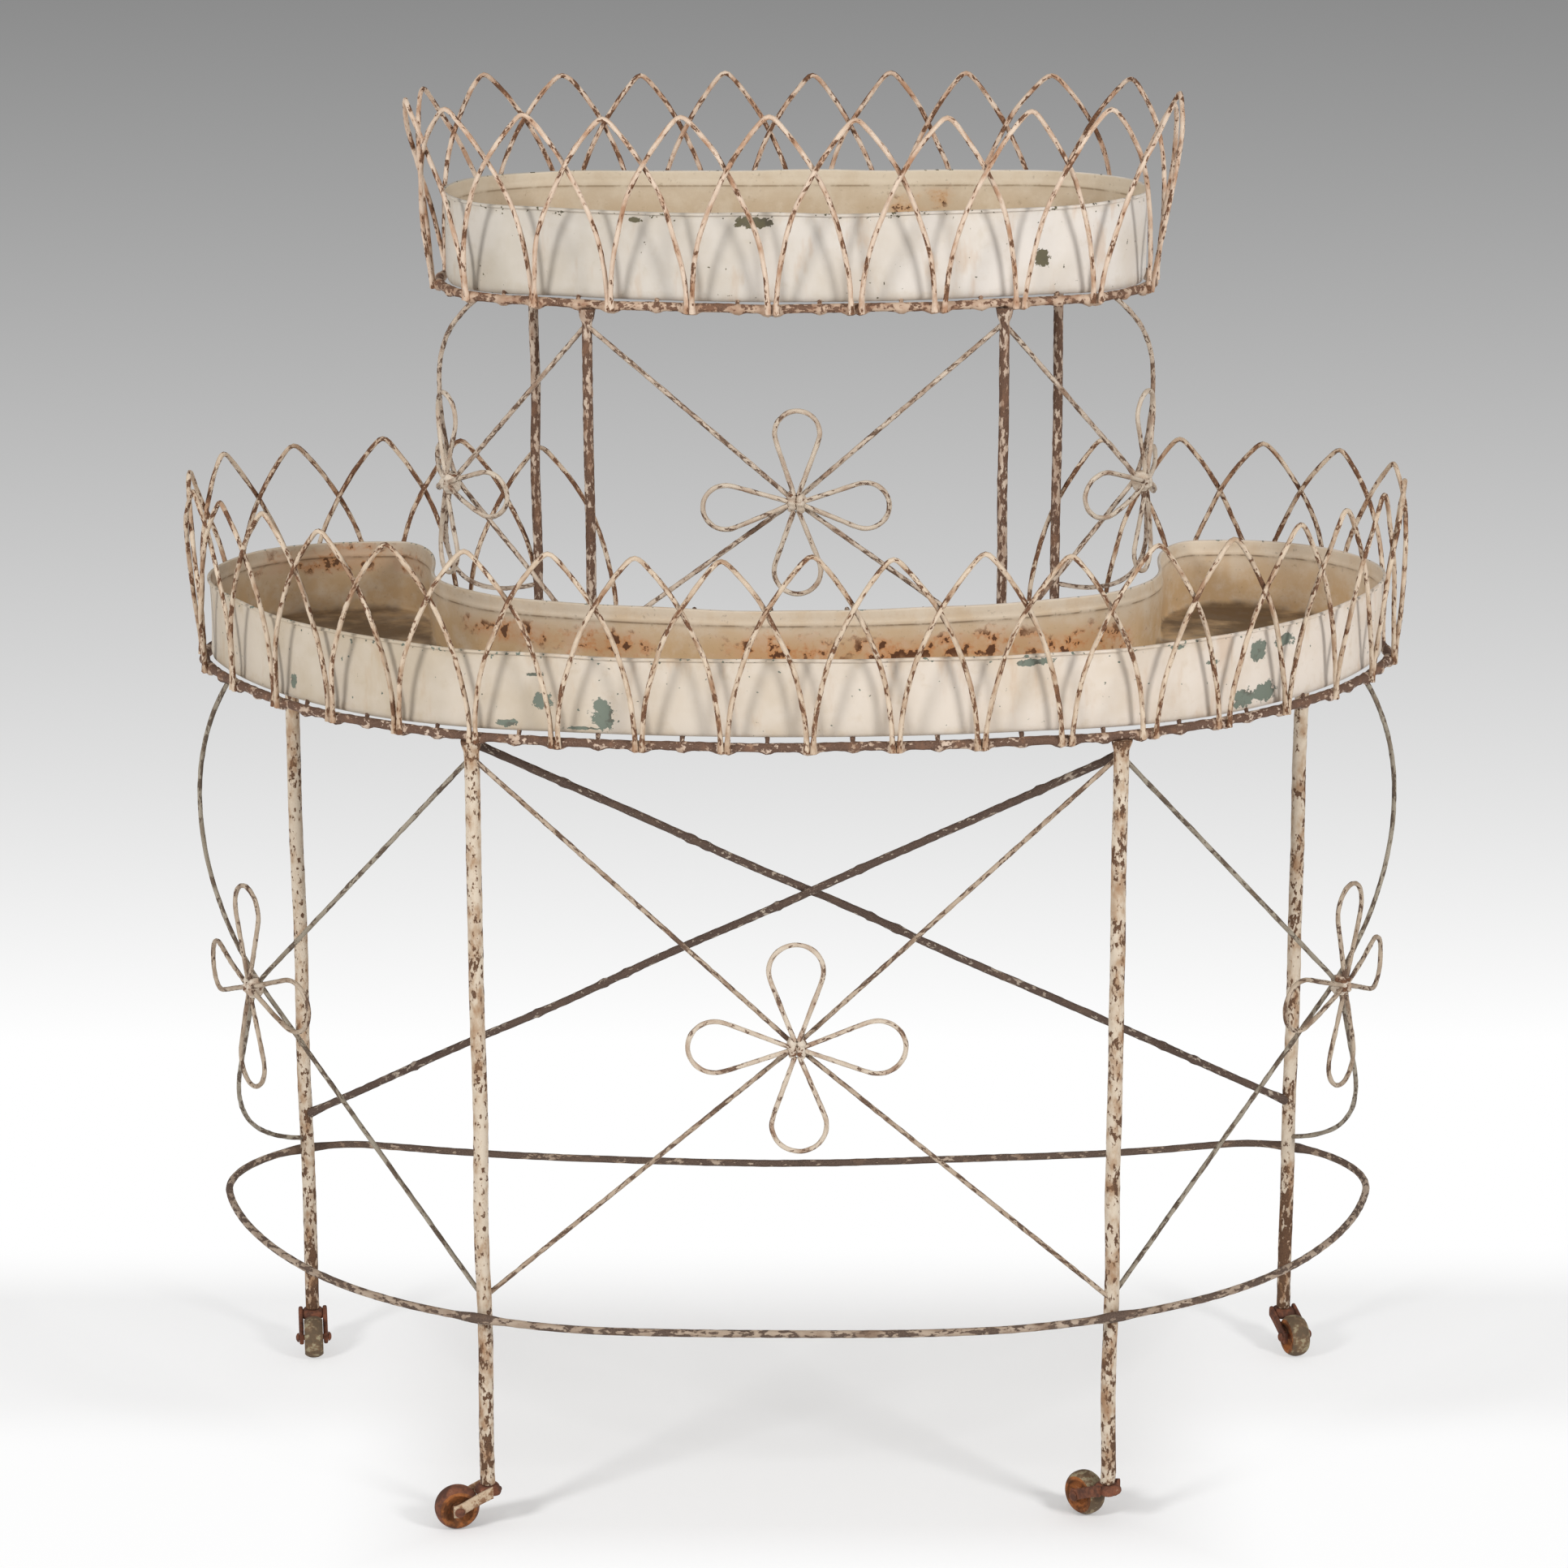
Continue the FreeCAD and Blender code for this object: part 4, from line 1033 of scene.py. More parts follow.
LOWER_FLAKES = blemishes(
    (-154, -212, 715, 9, 50, 12),
    (-203, -203, 724, 7, 50, 7),
    (-209, -202, 746, 8, 50, 1.6),
    (-232, -196, 704, 8, 50, 3),
    (-170, -209, 703, 14, 50, 1.5),
    (-416, -86, 711, 3, 30, 5),
    (366, -130, 707, 13, 30, 7),
    (385, -115, 708, 10, 30, 8),
    (378, -121, 744, 8, 30, 8),
    (400, -104, 748, 8, 30, 6),
    (190, -205, 756, 14, 50, 3),
    (338, -150, 742, 5, 30, 2),
    (308, -166, 759, 6, 30, 2),
)
UPPER_FLAKES = blemishes(
    (-34, -40, 1084, 15, 50, 4.5),
    (-132, -26, 1084, 5, 50, 2.5),
    (204, -5, 1048, 6, 50, 7),
    (-291, 68, 1082, 50, 4, 5),
)
LOWER_RUST = blemishes(
    (-235, -12, 733, 55, 50, 9),
    (-155, -40, 730, 34, 50, 11),
    (-20, -60, 728, 45, 50, 13),
    (130, -45, 728, 110, 50, 11),
    (235, -12, 722, 50, 50, 13),
    (-495, 10, 752, 40, 60, 12),
    (-415, 202, 748, 80, 40, 11),
)
UPPER_RUST = blemishes(
    (98, 209, 1058, 16, 50, 10),
    (126, 209, 1066, 12, 50, 10),
)


@dataclass
class Post:
    """A leg or an upright: where its axis stands, and its ends."""

    node: str
    extent: Extent

    def axis(self, height: float) -> Array:
        """The point of the post's axis at a height."""
        return np.array([self.extent.middle[0], self.extent.middle[1], height])


def find_posts(kind: str) -> dict[str, Post]:
    """The frame's four posts of a kind, by row and side."""
    names = [f"{row.value}_{side.word}" for row in Row for side in Side]
    return {name: Post(f"{kind}_{name}", Extent.of(f"{kind}_{name}")) for name in names}


@dataclass
class Legs:
    """Four straight rod legs, each with a hammered weld collar under the ring and its caster's pin.

    They are more worn at their tops and towards their feet, the rear ones most of all.
    """

    finish: Material
    rod: float = 12.5 * MM
    foot: float = 36.6 * MM
    flare: float = 2.5 * MM
    flare_length: float = 11.2 * MM
    worn_top: float = 10 * MM
    worn_foot: float = 180 * MM
    foot_wear: dict[str, float] = field(default_factory=lambda: {"front": 0.4, "rear": 0.9})
    pin: float = 7 * MM
    pin_head: float = 10 * MM
    pin_head_length: float = 1.6 * MM
    pin_end: float = 26.6 * MM
    sides: int = 20
    lump: float = 0.022
    top_lump: float = 0.05
    sway: float = 0.5 * MM
    posts: dict[str, Post] = field(default_factory=lambda: find_posts("leg"))

    def profile(self, post: Post) -> Array:
        """Radius and height of a leg, from the head of its pin to the flare at its top.

        The flare grows by rise ** 2 * (3 - 2 * rise), a smooth step.

        Args:
            post: the leg.

        Returns:
            Pairs of radius and height, upwards.
        """
        bottom, top = self.pin_end, float(post.extent.high[2])
        radius, pin, head = self.rod / 2, self.pin / 2, self.pin_head / 2
        shaft = np.linspace(self.foot + 2 * MM, top - self.flare_length, 160)
        rise = np.linspace(0, 1, 8)[1:]
        collar = radius + self.flare * rise**2 * (3 - 2 * rise)
        below = [
            (head * 0.6, bottom), (head, bottom), (head, bottom + self.pin_head_length),
            (pin, bottom + self.pin_head_length), (pin, self.foot), (radius * 0.85, self.foot),
            (radius, self.foot + 1 * MM),
        ]
        above = np.stack([collar, top - self.flare_length * (1 - rise)], axis=-1)
        return np.concatenate([below, np.stack([np.full_like(shaft, radius), shaft], axis=-1), above])

    def build(self, draws: Draws) -> None:
        """Makes the legs.

        Args:
            draws: where random numbers come from.
        """
        for name, post in self.posts.items():
            profile = self.profile(post)
            height = profile[:, 1]
            turns = all_turns(self.sides)
            lumps = Unevenness(draws, 14 * MM, 160 * MM).over(height, turns)
            fade = held((height - self.foot) / (10 * MM))[:, None]
            near_top = held((height - height[-1] + self.worn_top) / self.worn_top)
            near_foot = held(1 - (height - self.foot) / self.worn_foot)
            wear = 0.15 + 0.6 * near_top + self.foot_wear[name.split("_")[0]] * near_foot
            radial = (1 + lumps * fade * (self.lump + self.top_lump * near_top[:, None])).T
            shell = Shell()
            spoke = np.stack([np.cos(turns), np.sin(turns), np.zeros_like(turns)], axis=-1)
            sway = Unevenness(draws, 150 * MM, 500 * MM, 3)
            bend = np.stack([sway.along(height), sway.along(height)], axis=-1) * self.sway
            inside = (fade[:, 0] * held((height[-1] - height) / (60 * MM)))[:, None]
            axis = np.concatenate([bend * inside, profile[:, 1:2]], axis=-1) + post.axis(0.0)
            points = axis[None] + (radial * profile[None, :, 0])[..., None] * spoke[:, None]
            course = np.zeros_like(points)
            course[..., 0] = profile[None, :, 1] + draws.uniform(0, COURSE_SPREAD)
            course[..., 1:] = self.rod / 2 * spoke[:, None, :2]
            shell.grid(points, True, False, True, course, wear[None, :])
            shell.build(f"painted_leg_{name}", "frame", Slot.WIRE, [self.finish], post.node)


@dataclass
class Uprights:
    """Four thinner rods that carry the upper ring, with rough welds at top and foot.

    The top weld swells with the square root of its nearness, the foot's evenly.
    """

    finish: Material
    stock: Stock = field(default_factory=lambda: Stock(8.5 * MM, 0.035, 14))
    weld: float = 11 * MM
    top_swell: float = 3.0 * MM
    foot_swell: float = 1.4 * MM
    sway: float = 0.7 * MM
    posts: dict[str, Post] = field(default_factory=lambda: find_posts("upright"))

    def build(self, draws: Draws) -> None:
        """Makes the uprights: straight rods that sway a little, thicker at the welds.

        Args:
            draws: where random numbers come from.
        """
        for name, post in self.posts.items():
            low, high = float(post.extent.low[2]), float(post.extent.high[2])
            path = evenly(line(post.axis(low), post.axis(high), 2), self.stock.step)
            height = path[:, 2]
            inside = np.sin(math.pi * (height - low) / (high - low))
            sway = Unevenness(draws, 120 * MM, 320 * MM, 3)
            path[:, 0] += sway.along(height) * inside * self.sway
            path[:, 1] += sway.along(height) * inside * self.sway
            top = held(1 - (high - height) / self.weld)
            foot = held(1 - (height - low) / (self.weld / 2))
            swell = self.top_swell * np.sqrt(top) + self.foot_swell * foot
            wear = 0.6 * np.maximum(top, foot)
            shell = Shell()
            shell.rods(path, np.array([0.0, 1, 0]), self.stock, draws, swell=swell, wear=wear)
            shell.build(f"rusty_upright_{name}", "frame", Slot.ROD, [self.finish], post.node)


@dataclass
class Gallery:
    """A row of interlaced wire arches round a ring.

    Each leg of an arch is an arc with an upright foot. It passes outside its neighbour on one side
    and inside it on the other, and the whole row leans outwards.
    """

    tier: str
    plan: Outline
    height: float
    ring_radius: float
    flare: float
    pitch: float
    shift: float
    numbers: range
    pushes: tuple[Triple, ...]
    finish: Material
    rise_over_ring: float = 157 * MM
    apex_flat: float = 8 * MM
    lap: float = 2.58 * MM
    stock: Stock = field(default_factory=lambda: Stock(4.2 * MM, 0.07, 8))
    leg_points: int = 42
    tip_wobble: float = 1.6 * MM
    lean_wobble: float = 0.8 * MM
    rise_wobble: float = 0.012
    slack: float = 0.8 * MM
    foot_sunk: float = 0.2 * MM
    foot_share: float = 0.08
    foot_swell: float = 0.9 * MM
    crossing_share: float = 0.76
    crossing_spread: float = 0.06

    def middles(self) -> Array:
        """The arches' middles: one pitch apart, but for a few places where the row was pushed along.

        A push is a place, a spread and an amount, and moves what is near it by the amount times
        exp(-(distance / spread) ** 2).

        Returns:
            Places along the ring, to the right when positive.
        """
        middle = np.array(list(self.numbers), float) * self.pitch + self.shift
        whole = 2 * self.plan.half_length
        wrapped = (middle + whole / 2) % whole - whole / 2
        for place, spread, amount in self.pushes:
            middle = middle + amount * bump(wrapped - place, spread)
        return middle

    def feet(self) -> Array:
        """The places of the arches' feet along the ring."""
        middle = self.middles()
        return np.concatenate([middle - self.pitch + self.lap, middle + self.pitch - self.lap])

    def paths(self, draws: Draws) -> tuple[Array, Array, Array]:
        """The arches' axes.

        At a share of a leg's arc the climb is radius * sin(share * full turn), and the way inwards
        from the foot is radius * (1 - cos(share * full turn)). The lean grows with the climb. The
        tops are then rounded off.

        Args:
            draws: where random numbers come from, for uneven tops.

        Returns:
            The points, the outward directions and the climb as a share of the rise.
        """
        wire = self.stock.diameter
        span = self.pitch - self.lap - self.apex_flat / 2
        foot_height = self.height - self.ring_radius
        rise = self.height + self.rise_over_ring - wire / 2 - foot_height
        radius = (span**2 + rise**2) / (2 * span)
        full_turn = math.asin(rise / radius)
        meeting = math.acos(1 - (self.pitch - self.lap) / radius) / full_turn
        share = np.linspace(0, meeting, self.leg_points)
        shares = np.concatenate([share, share[::-1][1:]])
        sides = np.concatenate([np.full(self.leg_points, -1.0), np.full(self.leg_points - 1, 1.0)])
        climb = radius * np.sin(shares * full_turn)
        inward = radius * (1 - np.cos(shares * full_turn))
        passing = np.interp(shares, [0, 0.3, 0.8, 1], [0, 1, 1, 0])
        middle = self.middles()[:, None]
        lift = climb / rise
        wobble = draws.normal(0, 1, (3, len(middle), 1))
        slack = Unevenness(draws, 60 * MM, 160 * MM, 3).along(np.tile(climb, (len(middle), 1)))
        place = middle + sides * (self.pitch - self.lap - inward)
        place = place + wobble[0] * self.tip_wobble * lift**2 + slack * self.slack * np.sin(math.pi * lift)
        foot_offset = self.ring_radius + wire / 2 - self.foot_sunk
        lean = (self.flare - foot_offset) * lift - sides * passing * self.lap
        offset = foot_offset + lean + wobble[1] * self.lean_wobble * lift**2
        height = foot_height + climb * (1 + wobble[2] * self.rise_wobble)
        points = softened(self.plan.at(place, height, offset), 3)
        return points, self.plan.outward(place), np.broadcast_to(lift, place.shape)

    def build(self, draws: Draws) -> None:
        """Makes the gallery, more worn at its feet, behind, and where the arches cross.

        Args:
            draws: where random numbers come from.
        """
        points, outward, lift = self.paths(draws)
        foot = held(1 - lift / self.foot_share)
        crossing = bump(lift - self.crossing_share, self.crossing_spread)
        behind = held(outward[..., 1])
        wear = held(0.2 + foot * 0.25 + crossing * 0.4 + behind * 0.3 - lift * 0.15)
        shell = Shell()
        shell.rods(points, outward, self.stock, draws, swell=self.foot_swell * foot, wear=wear)
        name = f"{self.tier}_arched_gallery"
        shell.build(name, "frame", Slot.WIRE, [self.finish], f"{self.tier}_gallery")


@dataclass
class TrayRing:
    """A tray ring of round rod, swollen where the arches' feet and the bars are welded on."""

    tier: str
    plan: Outline
    height: float
    pitch: float
    shift: float
    feet: Array
    finish: Material
    stock: Stock
    bar: Stock
    bar_shares: tuple[float, ...]
    bend: float = 14 * MM
    lump: float = 1.6 * MM
    foot_weld: float = 4.5 * MM
    bar_weld: float = 4 * MM
    bar_weld_share: float = 0.7
    sag: float = 0.5 * MM

    def swelling(self, places: Array) -> tuple[Array, Array]:
        """How much the ring is thicker at each place, as a bump at every foot and every bar.

        Args:
            places: places along the ring.

        Returns:
            The thickening, and the same as a share of the largest.
        """
        whole = 2 * self.plan.half_length
        away = (places[:, None] - self.feet + whole / 2) % whole - whole / 2
        feet = np.abs(away).min(axis=1)
        bars = np.abs((places - self.shift) % self.pitch - self.pitch / 2)
        share = bump(feet, self.foot_weld) + self.bar_weld_share * bump(bars, self.bar_weld)
        return self.lump * share, held(share)

    def build(self, draws: Draws) -> None:
        """Makes the ring and its bars.

        Args:
            draws: where random numbers come from.
        """
        places = self.plan.all_round(self.stock.step)
        swell, share = self.swelling(places)
        sag = Unevenness(draws, 120 * MM, 500 * MM, 4).along(places, 2 * self.plan.half_length)
        shell = Shell()
        path = self.plan.at(places, self.height + sag * self.sag - 0.9 * swell, 0.4 * swell)
        shell.rods(path, UP, self.stock, draws, True, swell, 0.25 - share)
        name = f"{self.tier}_lumpy_ring"
        shell.build(name, "frame", Slot.RING, [self.finish], f"{self.tier}_tray_ring")
        self.build_bars(draws)

    def build_bars(self, draws: Draws) -> None:
        """Makes the bars, each thinned and bent down onto the ring's front.

        A bar that would run into a rear upright is moved beside it.

        Args:
            draws: where random numbers come from.
        """
        shell = Shell()
        lying = self.height + self.stock.radius + self.bar.radius
        low = self.height + self.stock.radius - 1 * MM
        uprights = [Extent.of(f"upright_rear_{side.word}") for side in Side] if self.tier == "lower" else []
        for share in self.bar_shares:
            for side in Side:
                x = float(self.plan.at(side.value * share * self.pitch + self.shift, 0.0)[0])
                for upright in uprights:
                    room = upright.size[0] / 2 + self.bar.radius * HEX_CORNER_SHARE + SETTLED
                    if abs(x - upright.middle[0]) < room:
                        x = float(upright.middle[0] + math.copysign(room, x - upright.middle[0]))
                turn, _, front_y = self.plan.heading(self.plan.place_of_x(abs(x)))
                bend_y = front_y + self.bend / math.cos(turn)
                rear = self.plan.at(self.plan.place_of_x(abs(x), Row.REAR), lying)
                rear_y = rear[1] + self.stock.radius
                corners = np.array([[x, front_y, low], [x, bend_y, lying], [x, rear_y, lying]])
                path = softened(evenly(corners, self.bar.step / 2), 6)
                thinned = held(1 - (path[:, 1] - front_y) / self.bend) * self.bar.radius / 4
                shell.rods(path, np.array([1.0, 0, 0]), self.bar, draws, swell=-thinned, wear=0.1)
        name = f"{self.tier}_bent_bars"
        shell.build(name, "frame", Slot.WIRE, [self.finish], f"{self.tier}_tray_bars")


@dataclass
class Braces:
    """The hoop round the legs, the two long crossing braces and the bearer of the upper stage."""

    hoop_finish: Material
    brace_finish: Material
    legs: dict[str, Post]
    hoop: Stock = field(default_factory=lambda: Stock(6.5 * MM, 0.035, 12, 6 * MM))
    brace: Stock = field(default_factory=lambda: Stock(6.8 * MM, 0.05, 12))
    bearer: Stock = field(default_factory=lambda: Stock(8 * MM, 0.03, 12))
    end_radius: float = 100 * MM
    turns: Pair = (5.2, 78.4)
    bow: float = 48 * MM
    sag: float = 0.8 * MM
    weld: float = 1.3 * MM
    weld_reach: float = 9 * MM
    burrs: int = 7
    burr: float = 1 * MM
    burr_reach: float = 3.5 * MM
    end_weld: float = 1.2 * MM

    def build_hoop(self, draws: Draws) -> None:
        """Makes the hoop, with a weld lump at each leg, and more worn behind.

        Args:
            draws: where random numbers come from.
        """
        plan = ring_outline("stretcher_hoop", self.end_radius, self.turns, self.bow)
        places = plan.all_round(self.hoop.step)
        height = float(Extent.of("stretcher_hoop").middle[2])
        sag = Unevenness(draws, 250 * MM, 900 * MM, 4).along(places, 2 * plan.half_length)
        path = plan.at(places, height + sag * self.sag)
        steps = np.stack([(path - post.axis(height))[:, :2] for post in self.legs.values()])
        away = np.linalg.norm(steps, axis=-1).min(axis=0)
        near = bump(away - self.weld_reach, self.weld_reach)
        behind = held(plan.outward(places)[:, 1])
        shell = Shell()
        shell.rods(path, UP, self.hoop, draws, True, self.weld * near, 0.2 + 0.5 * near + 0.6 * behind)
        shell.build("bent_hoop", "frame", Slot.RING, [self.hoop_finish], "stretcher_hoop")

    def build_braces(self, draws: Draws) -> None:
        """Makes the braces, each between the corners of its node's box, with small burrs on it.

        Args:
            draws: where random numbers come from.
        """
        for side in Side:
            node = f"cross_brace_from_{side.word}"
            extent = Extent.of(node)
            end = -side.value
            near_x, far_x = (extent.low[0], extent.high[0])[::end]
            half = self.brace.radius
            inset = end * half * 0.3
            start = np.array([near_x + inset, extent.low[1] + half, extent.high[2] - half])
            stop = np.array([far_x - inset, extent.high[1] - half, extent.low[2] + half])
            path = evenly(line(start, stop, 2), self.brace.step)
            along = run_lengths(path)
            share = along / along[-1]
            sway = Unevenness(draws, 200 * MM, 600 * MM, 3).along(along)
            path[:, 2] += sway * np.sin(math.pi * share) * self.sag
            spots = draws.uniform(0.08, 0.9, self.burrs) * along[-1]
            burrs = bump(along[:, None] - spots, self.burr_reach).sum(axis=-1)
            ends = held(1 - np.minimum(share, 1 - share) / 0.02)
            swell = self.burr * burrs + self.end_weld * ends
            shell = Shell()
            shell.rods(path, UP, self.brace, draws, swell=swell, wear=0.3)
            shell.build(f"rusty_brace_from_{side.word}", "frame", Slot.WIRE, [self.brace_finish], node)

    def build_bearer(self, draws: Draws) -> None:
        """Makes the bearer rod that the front uprights stand on.

        Args:
            draws: where random numbers come from.
        """
        extent = Extent.of("upper_stage_bearer")
        half = np.array([extent.size[0] / 2, 0.0, 0.0])
        path = evenly(line(extent.middle - half, extent.middle + half, 2), self.bearer.step)
        shell = Shell()
        shell.rods(path, UP, self.bearer, draws, wear=0.3)
        shell.build("stage_bearer", "frame", Slot.RING, [self.brace_finish], "upper_stage_bearer")


@dataclass
class Flower:
    """Four wire petals and the two wrapped lumps that clasp them, at a height on a panel."""

    height: float
    reach: float
    width: float
    stock: Stock = field(default_factory=lambda: Stock(4.2 * MM, 0.06, 8, 3 * MM))
    root: float = 7 * MM
    spread: float = 15.0
    knot_width: float = 16 * MM
    knot_halves: Triple = (0.29, 0.5, 0.55)
    knot_apart: float = 0.23
    knot_sunk: float = 0.25

    def outline(self, tip_swell: float) -> Array:
        """One petal's axis in its own plane: a line from the root, the circular tip, a line back.

        The lines touch the circle, whose middle lies at reach - radius and whose radius is half the
        width, and the touching turn follows from the root's place.

        Args:
            tip_swell: how much the tip is wider than the others', in metres.

        Returns:
            Pairs of length along the petal and distance across it.
        """
        wire = self.stock.diameter
        tip = (self.width - wire + tip_swell) / 2
        middle = self.reach - wire / 2 - tip
        spread = math.radians(self.spread)
        start = self.root * np.array([math.cos(spread), math.sin(spread)])
        run = math.hypot(middle - start[0], start[1])
        touch = math.pi - math.atan2(start[1], middle - start[0]) - math.acos(tip / run)
        angle = np.linspace(touch, -touch, 40)
        arc = np.stack([middle + tip * np.cos(angle), tip * np.sin(angle)], axis=-1)
        out = line(start, arc[0], 20)[:-1]
        back = line(arc[-1], start * [1, -1], 20)[1:]
        return softened(np.concatenate([out, arc, back]), 6)


@dataclass
class Panel:
    """A panel between two posts: two crossing wires with a flower and a knot where they cross."""

    name: str
    flower: Flower
    wire_finish: Material
    flower_finish: Material
    knot_finish: Material
    layer_step: float = 5.15 * MM
    wire_wobble: float = 0.2 * MM
    turn_wobble: float = 0.02
    tip_wobble: float = 1.2 * MM
    lift_wobble: float = 0.6 * MM

    def surface(self, along: Array, height: Array, layer: Array) -> Array:
        """Points of the panel's own surface, by length along it, height and layer outwards."""
        raise NotImplementedError

    def wires(self) -> list[Array]:
        """The axes of the two crossing wires."""
        raise NotImplementedError

    def base_layer(self) -> float:
        """The layer of the wire in front of which the petals lie."""
        raise NotImplementedError

    def outward(self) -> Array:
        """The direction out of the panel at its flower."""
        ahead = self.surface(0.0, self.flower.height, self.layer_step)
        return unit(ahead - self.surface(0.0, self.flower.height, 0.0))

    def build(self, draws: Draws) -> None:
        """Makes the wires, the petals and the knot.

        Args:
            draws: where random numbers come from.
        """
        stock, outward = self.flower.stock, self.outward()
        shell = Shell()
        for wire in self.wires():
            path = evenly(wire, stock.step)
            path[1:-1] += draws.normal(0, 1, (1, 3)) * self.wire_wobble
            shell.rods(path, outward, stock, draws, wear=0.3)
        name = f"{self.name}_crossing_wires"
        shell.build(name, "frame", Slot.WIRE, [self.wire_finish], f"{self.name}_wires")
        shell = Shell()
        for quarter in range(4):
            turn = math.pi / 2 * quarter + draws.normal(0, self.turn_wobble)
            outline = self.flower.outline(draws.normal(0, self.tip_wobble))
            across = outline[:, 0] * math.cos(turn) - outline[:, 1] * math.sin(turn)
            up = outline[:, 0] * math.sin(turn) + outline[:, 1] * math.cos(turn)
            share = outline[:, 0] / self.flower.reach
            layer = self.base_layer() + self.layer_step + draws.normal(0, self.lift_wobble) * share
            path = self.surface(across, self.flower.height + up, layer)
            shell.rods(path, outward, stock, draws, wear=np.clip(0.9 - 4 * share, 0.1, 1))
        name = f"{self.name}_petals"
        shell.build(name, "frame", Slot.WIRE, [self.flower_finish], f"{self.name}_flower")
        self.build_knot(draws)

    def build_knot(self, draws: Draws) -> None:
        """Makes the knot: two fat lumps side by side, ribbed where the binding wire goes round.

        Each lump's point is its middle plus the three half sizes times (level * cos turn, level *
        sin turn, sin rise), where level is cos rise to the power 0.6, ribbed and uneven.

        Args:
            draws: where random numbers come from.
        """
        outward = self.outward()
        side = unit(np.cross(outward, UP))
        flower = self.flower
        half = np.array(flower.knot_halves) * flower.knot_width
        layer = self.base_layer() + flower.knot_sunk * self.layer_step
        middle = self.surface(0.0, flower.height, layer)
        turns = all_turns(24)
        rises = np.linspace(-0.485 * math.pi, 0.485 * math.pi, 25)
        ribs = 1 + 0.05 * np.cos(rises * 11)
        shell = Shell()
        for place in (-1, 1):
            lumps = 1 + 0.06 * Unevenness(draws, 0.8, 2.5).over(rises, turns).T
            level = (squared(np.cos(rises), 0.6) * ribs)[None, :] * lumps
            lean = place * draws.uniform(0.1, 0.9) * MM
            points = (
                middle
                + side * (place * flower.knot_apart * flower.knot_width)
                + level[..., None] * np.cos(turns)[:, None, None] * side * half[0]
                + level[..., None] * np.sin(turns)[:, None, None] * -outward * half[1]
                + (np.sin(rises) * half[2] + lean)[None, :, None] * UP
            )
            shell.grid(points, True, False, True, wear=0.2)
        name = f"{self.name}_wrapped_knot"
        shell.build(name, "frame", Slot.WIRE, [self.knot_finish], f"{self.name}_knot", sharp=80)


@dataclass(kw_only=True)
class FrontPanel(Panel):
    """The flat panel between the two front posts."""

    left: Post
    right: Post
    top: float
    foot: float

    def surface(self, along: Array, height: Array, layer: Array) -> Array:
        """Points straight in front of the posts' plane."""
        along, height, layer = np.broadcast_arrays(along, height, layer)
        return np.stack([along, self.left.axis(0.0)[1] - layer, height], axis=-1)

    def base_layer(self) -> float:
        """Half a step: the front wire's own layer."""
        return self.layer_step / 2

    def wires(self) -> list[Array]:
        """A wire from each post's top to the other's foot, straight but for a slight bend.

        Returns:
            The axes of the two wires.
        """
        made = []
        ends = ((self.left, self.right, 0.5), (self.right, self.left, -0.5))
        for start, stop, share in ends:
            layer = share * self.layer_step
            ahead = np.array([0.0, -layer, 0.0])
            knot = self.surface(0.0, self.flower.height, layer)
            upper = line(start.axis(self.top) + ahead, knot, 60)
            lower = line(knot, stop.axis(self.foot) + ahead, 60)[1:]
            made.append(softened(np.concatenate([upper, lower]), 4))
        return made


@dataclass(kw_only=True)
class SidePanel(Panel):
    """The panel between a front and a rear post, bent round the outline.

    The first wire runs straight from the front post's top to the flower and sags from there to the
    rear post's foot. The second hangs from under the ring, swings to the back and bulges out on its
    way to the flower, then runs straight to the front post's foot.
    """

    plan: Outline
    side: Side
    front: Post
    rear: Post
    spreads: Pair
    flower_share: float
    scroll_share: float
    top: float
    foot: float
    ring_bottom: float
    inset: float
    swing: float
    bulge: float
    sag: float = 39 * MM

    def __post_init__(self) -> None:
        """Works out where the flower and the posts lie along the outline."""
        front = self.plan.place_of_x(self.spreads[0])
        rear = self.plan.place_of_x(self.spreads[1], Row.REAR)
        self.middle = front + self.flower_share * (rear - front)
        self.rear_step = rear - self.middle
        self.scroll_step = (self.scroll_share - self.flower_share) * (rear - front)

    def surface(self, along: Array, height: Array, layer: Array) -> Array:
        """Points on the outline's own wall, at a length from the flower."""
        return self.plan.at(self.side.value * self.middle + along, height, layer)

    def base_layer(self) -> float:
        """The outline itself."""
        return 0.0

    def wires(self) -> list[Array]:
        """The sagging wire and the scrolled wire: bow is 4 * share * (1 - share) of each sweep.

        Returns:
            The axes of the two wires.
        """
        side, height = self.side.value, self.flower.height
        share = np.linspace(0, 1, 70)
        bow = 4 * share * (1 - share)
        knot = self.surface(0.0, height, 0.0)
        level = height + share * (self.foot - height) - self.sag * bow
        sweep = self.surface(side * share * self.rear_step, level, -self.inset * bow)
        sweep[-1] = self.rear.axis(self.foot)
        straight = line(self.front.axis(self.top), knot, 50)[:-1]
        sagging = softened(np.concatenate([straight, sweep]), 5)
        level = height + share * (self.ring_bottom - height)
        layer = self.bulge * bow - self.layer_step * (1 - share)
        scroll = self.surface(side * (share * self.scroll_step + self.swing * bow), level, layer)
        down = line(self.surface(0.0, height, -self.layer_step), self.front.axis(self.foot), 50)[1:]
        scrolled = softened(np.concatenate([scroll[::-1], down]), 5)
        return [sagging, scrolled]


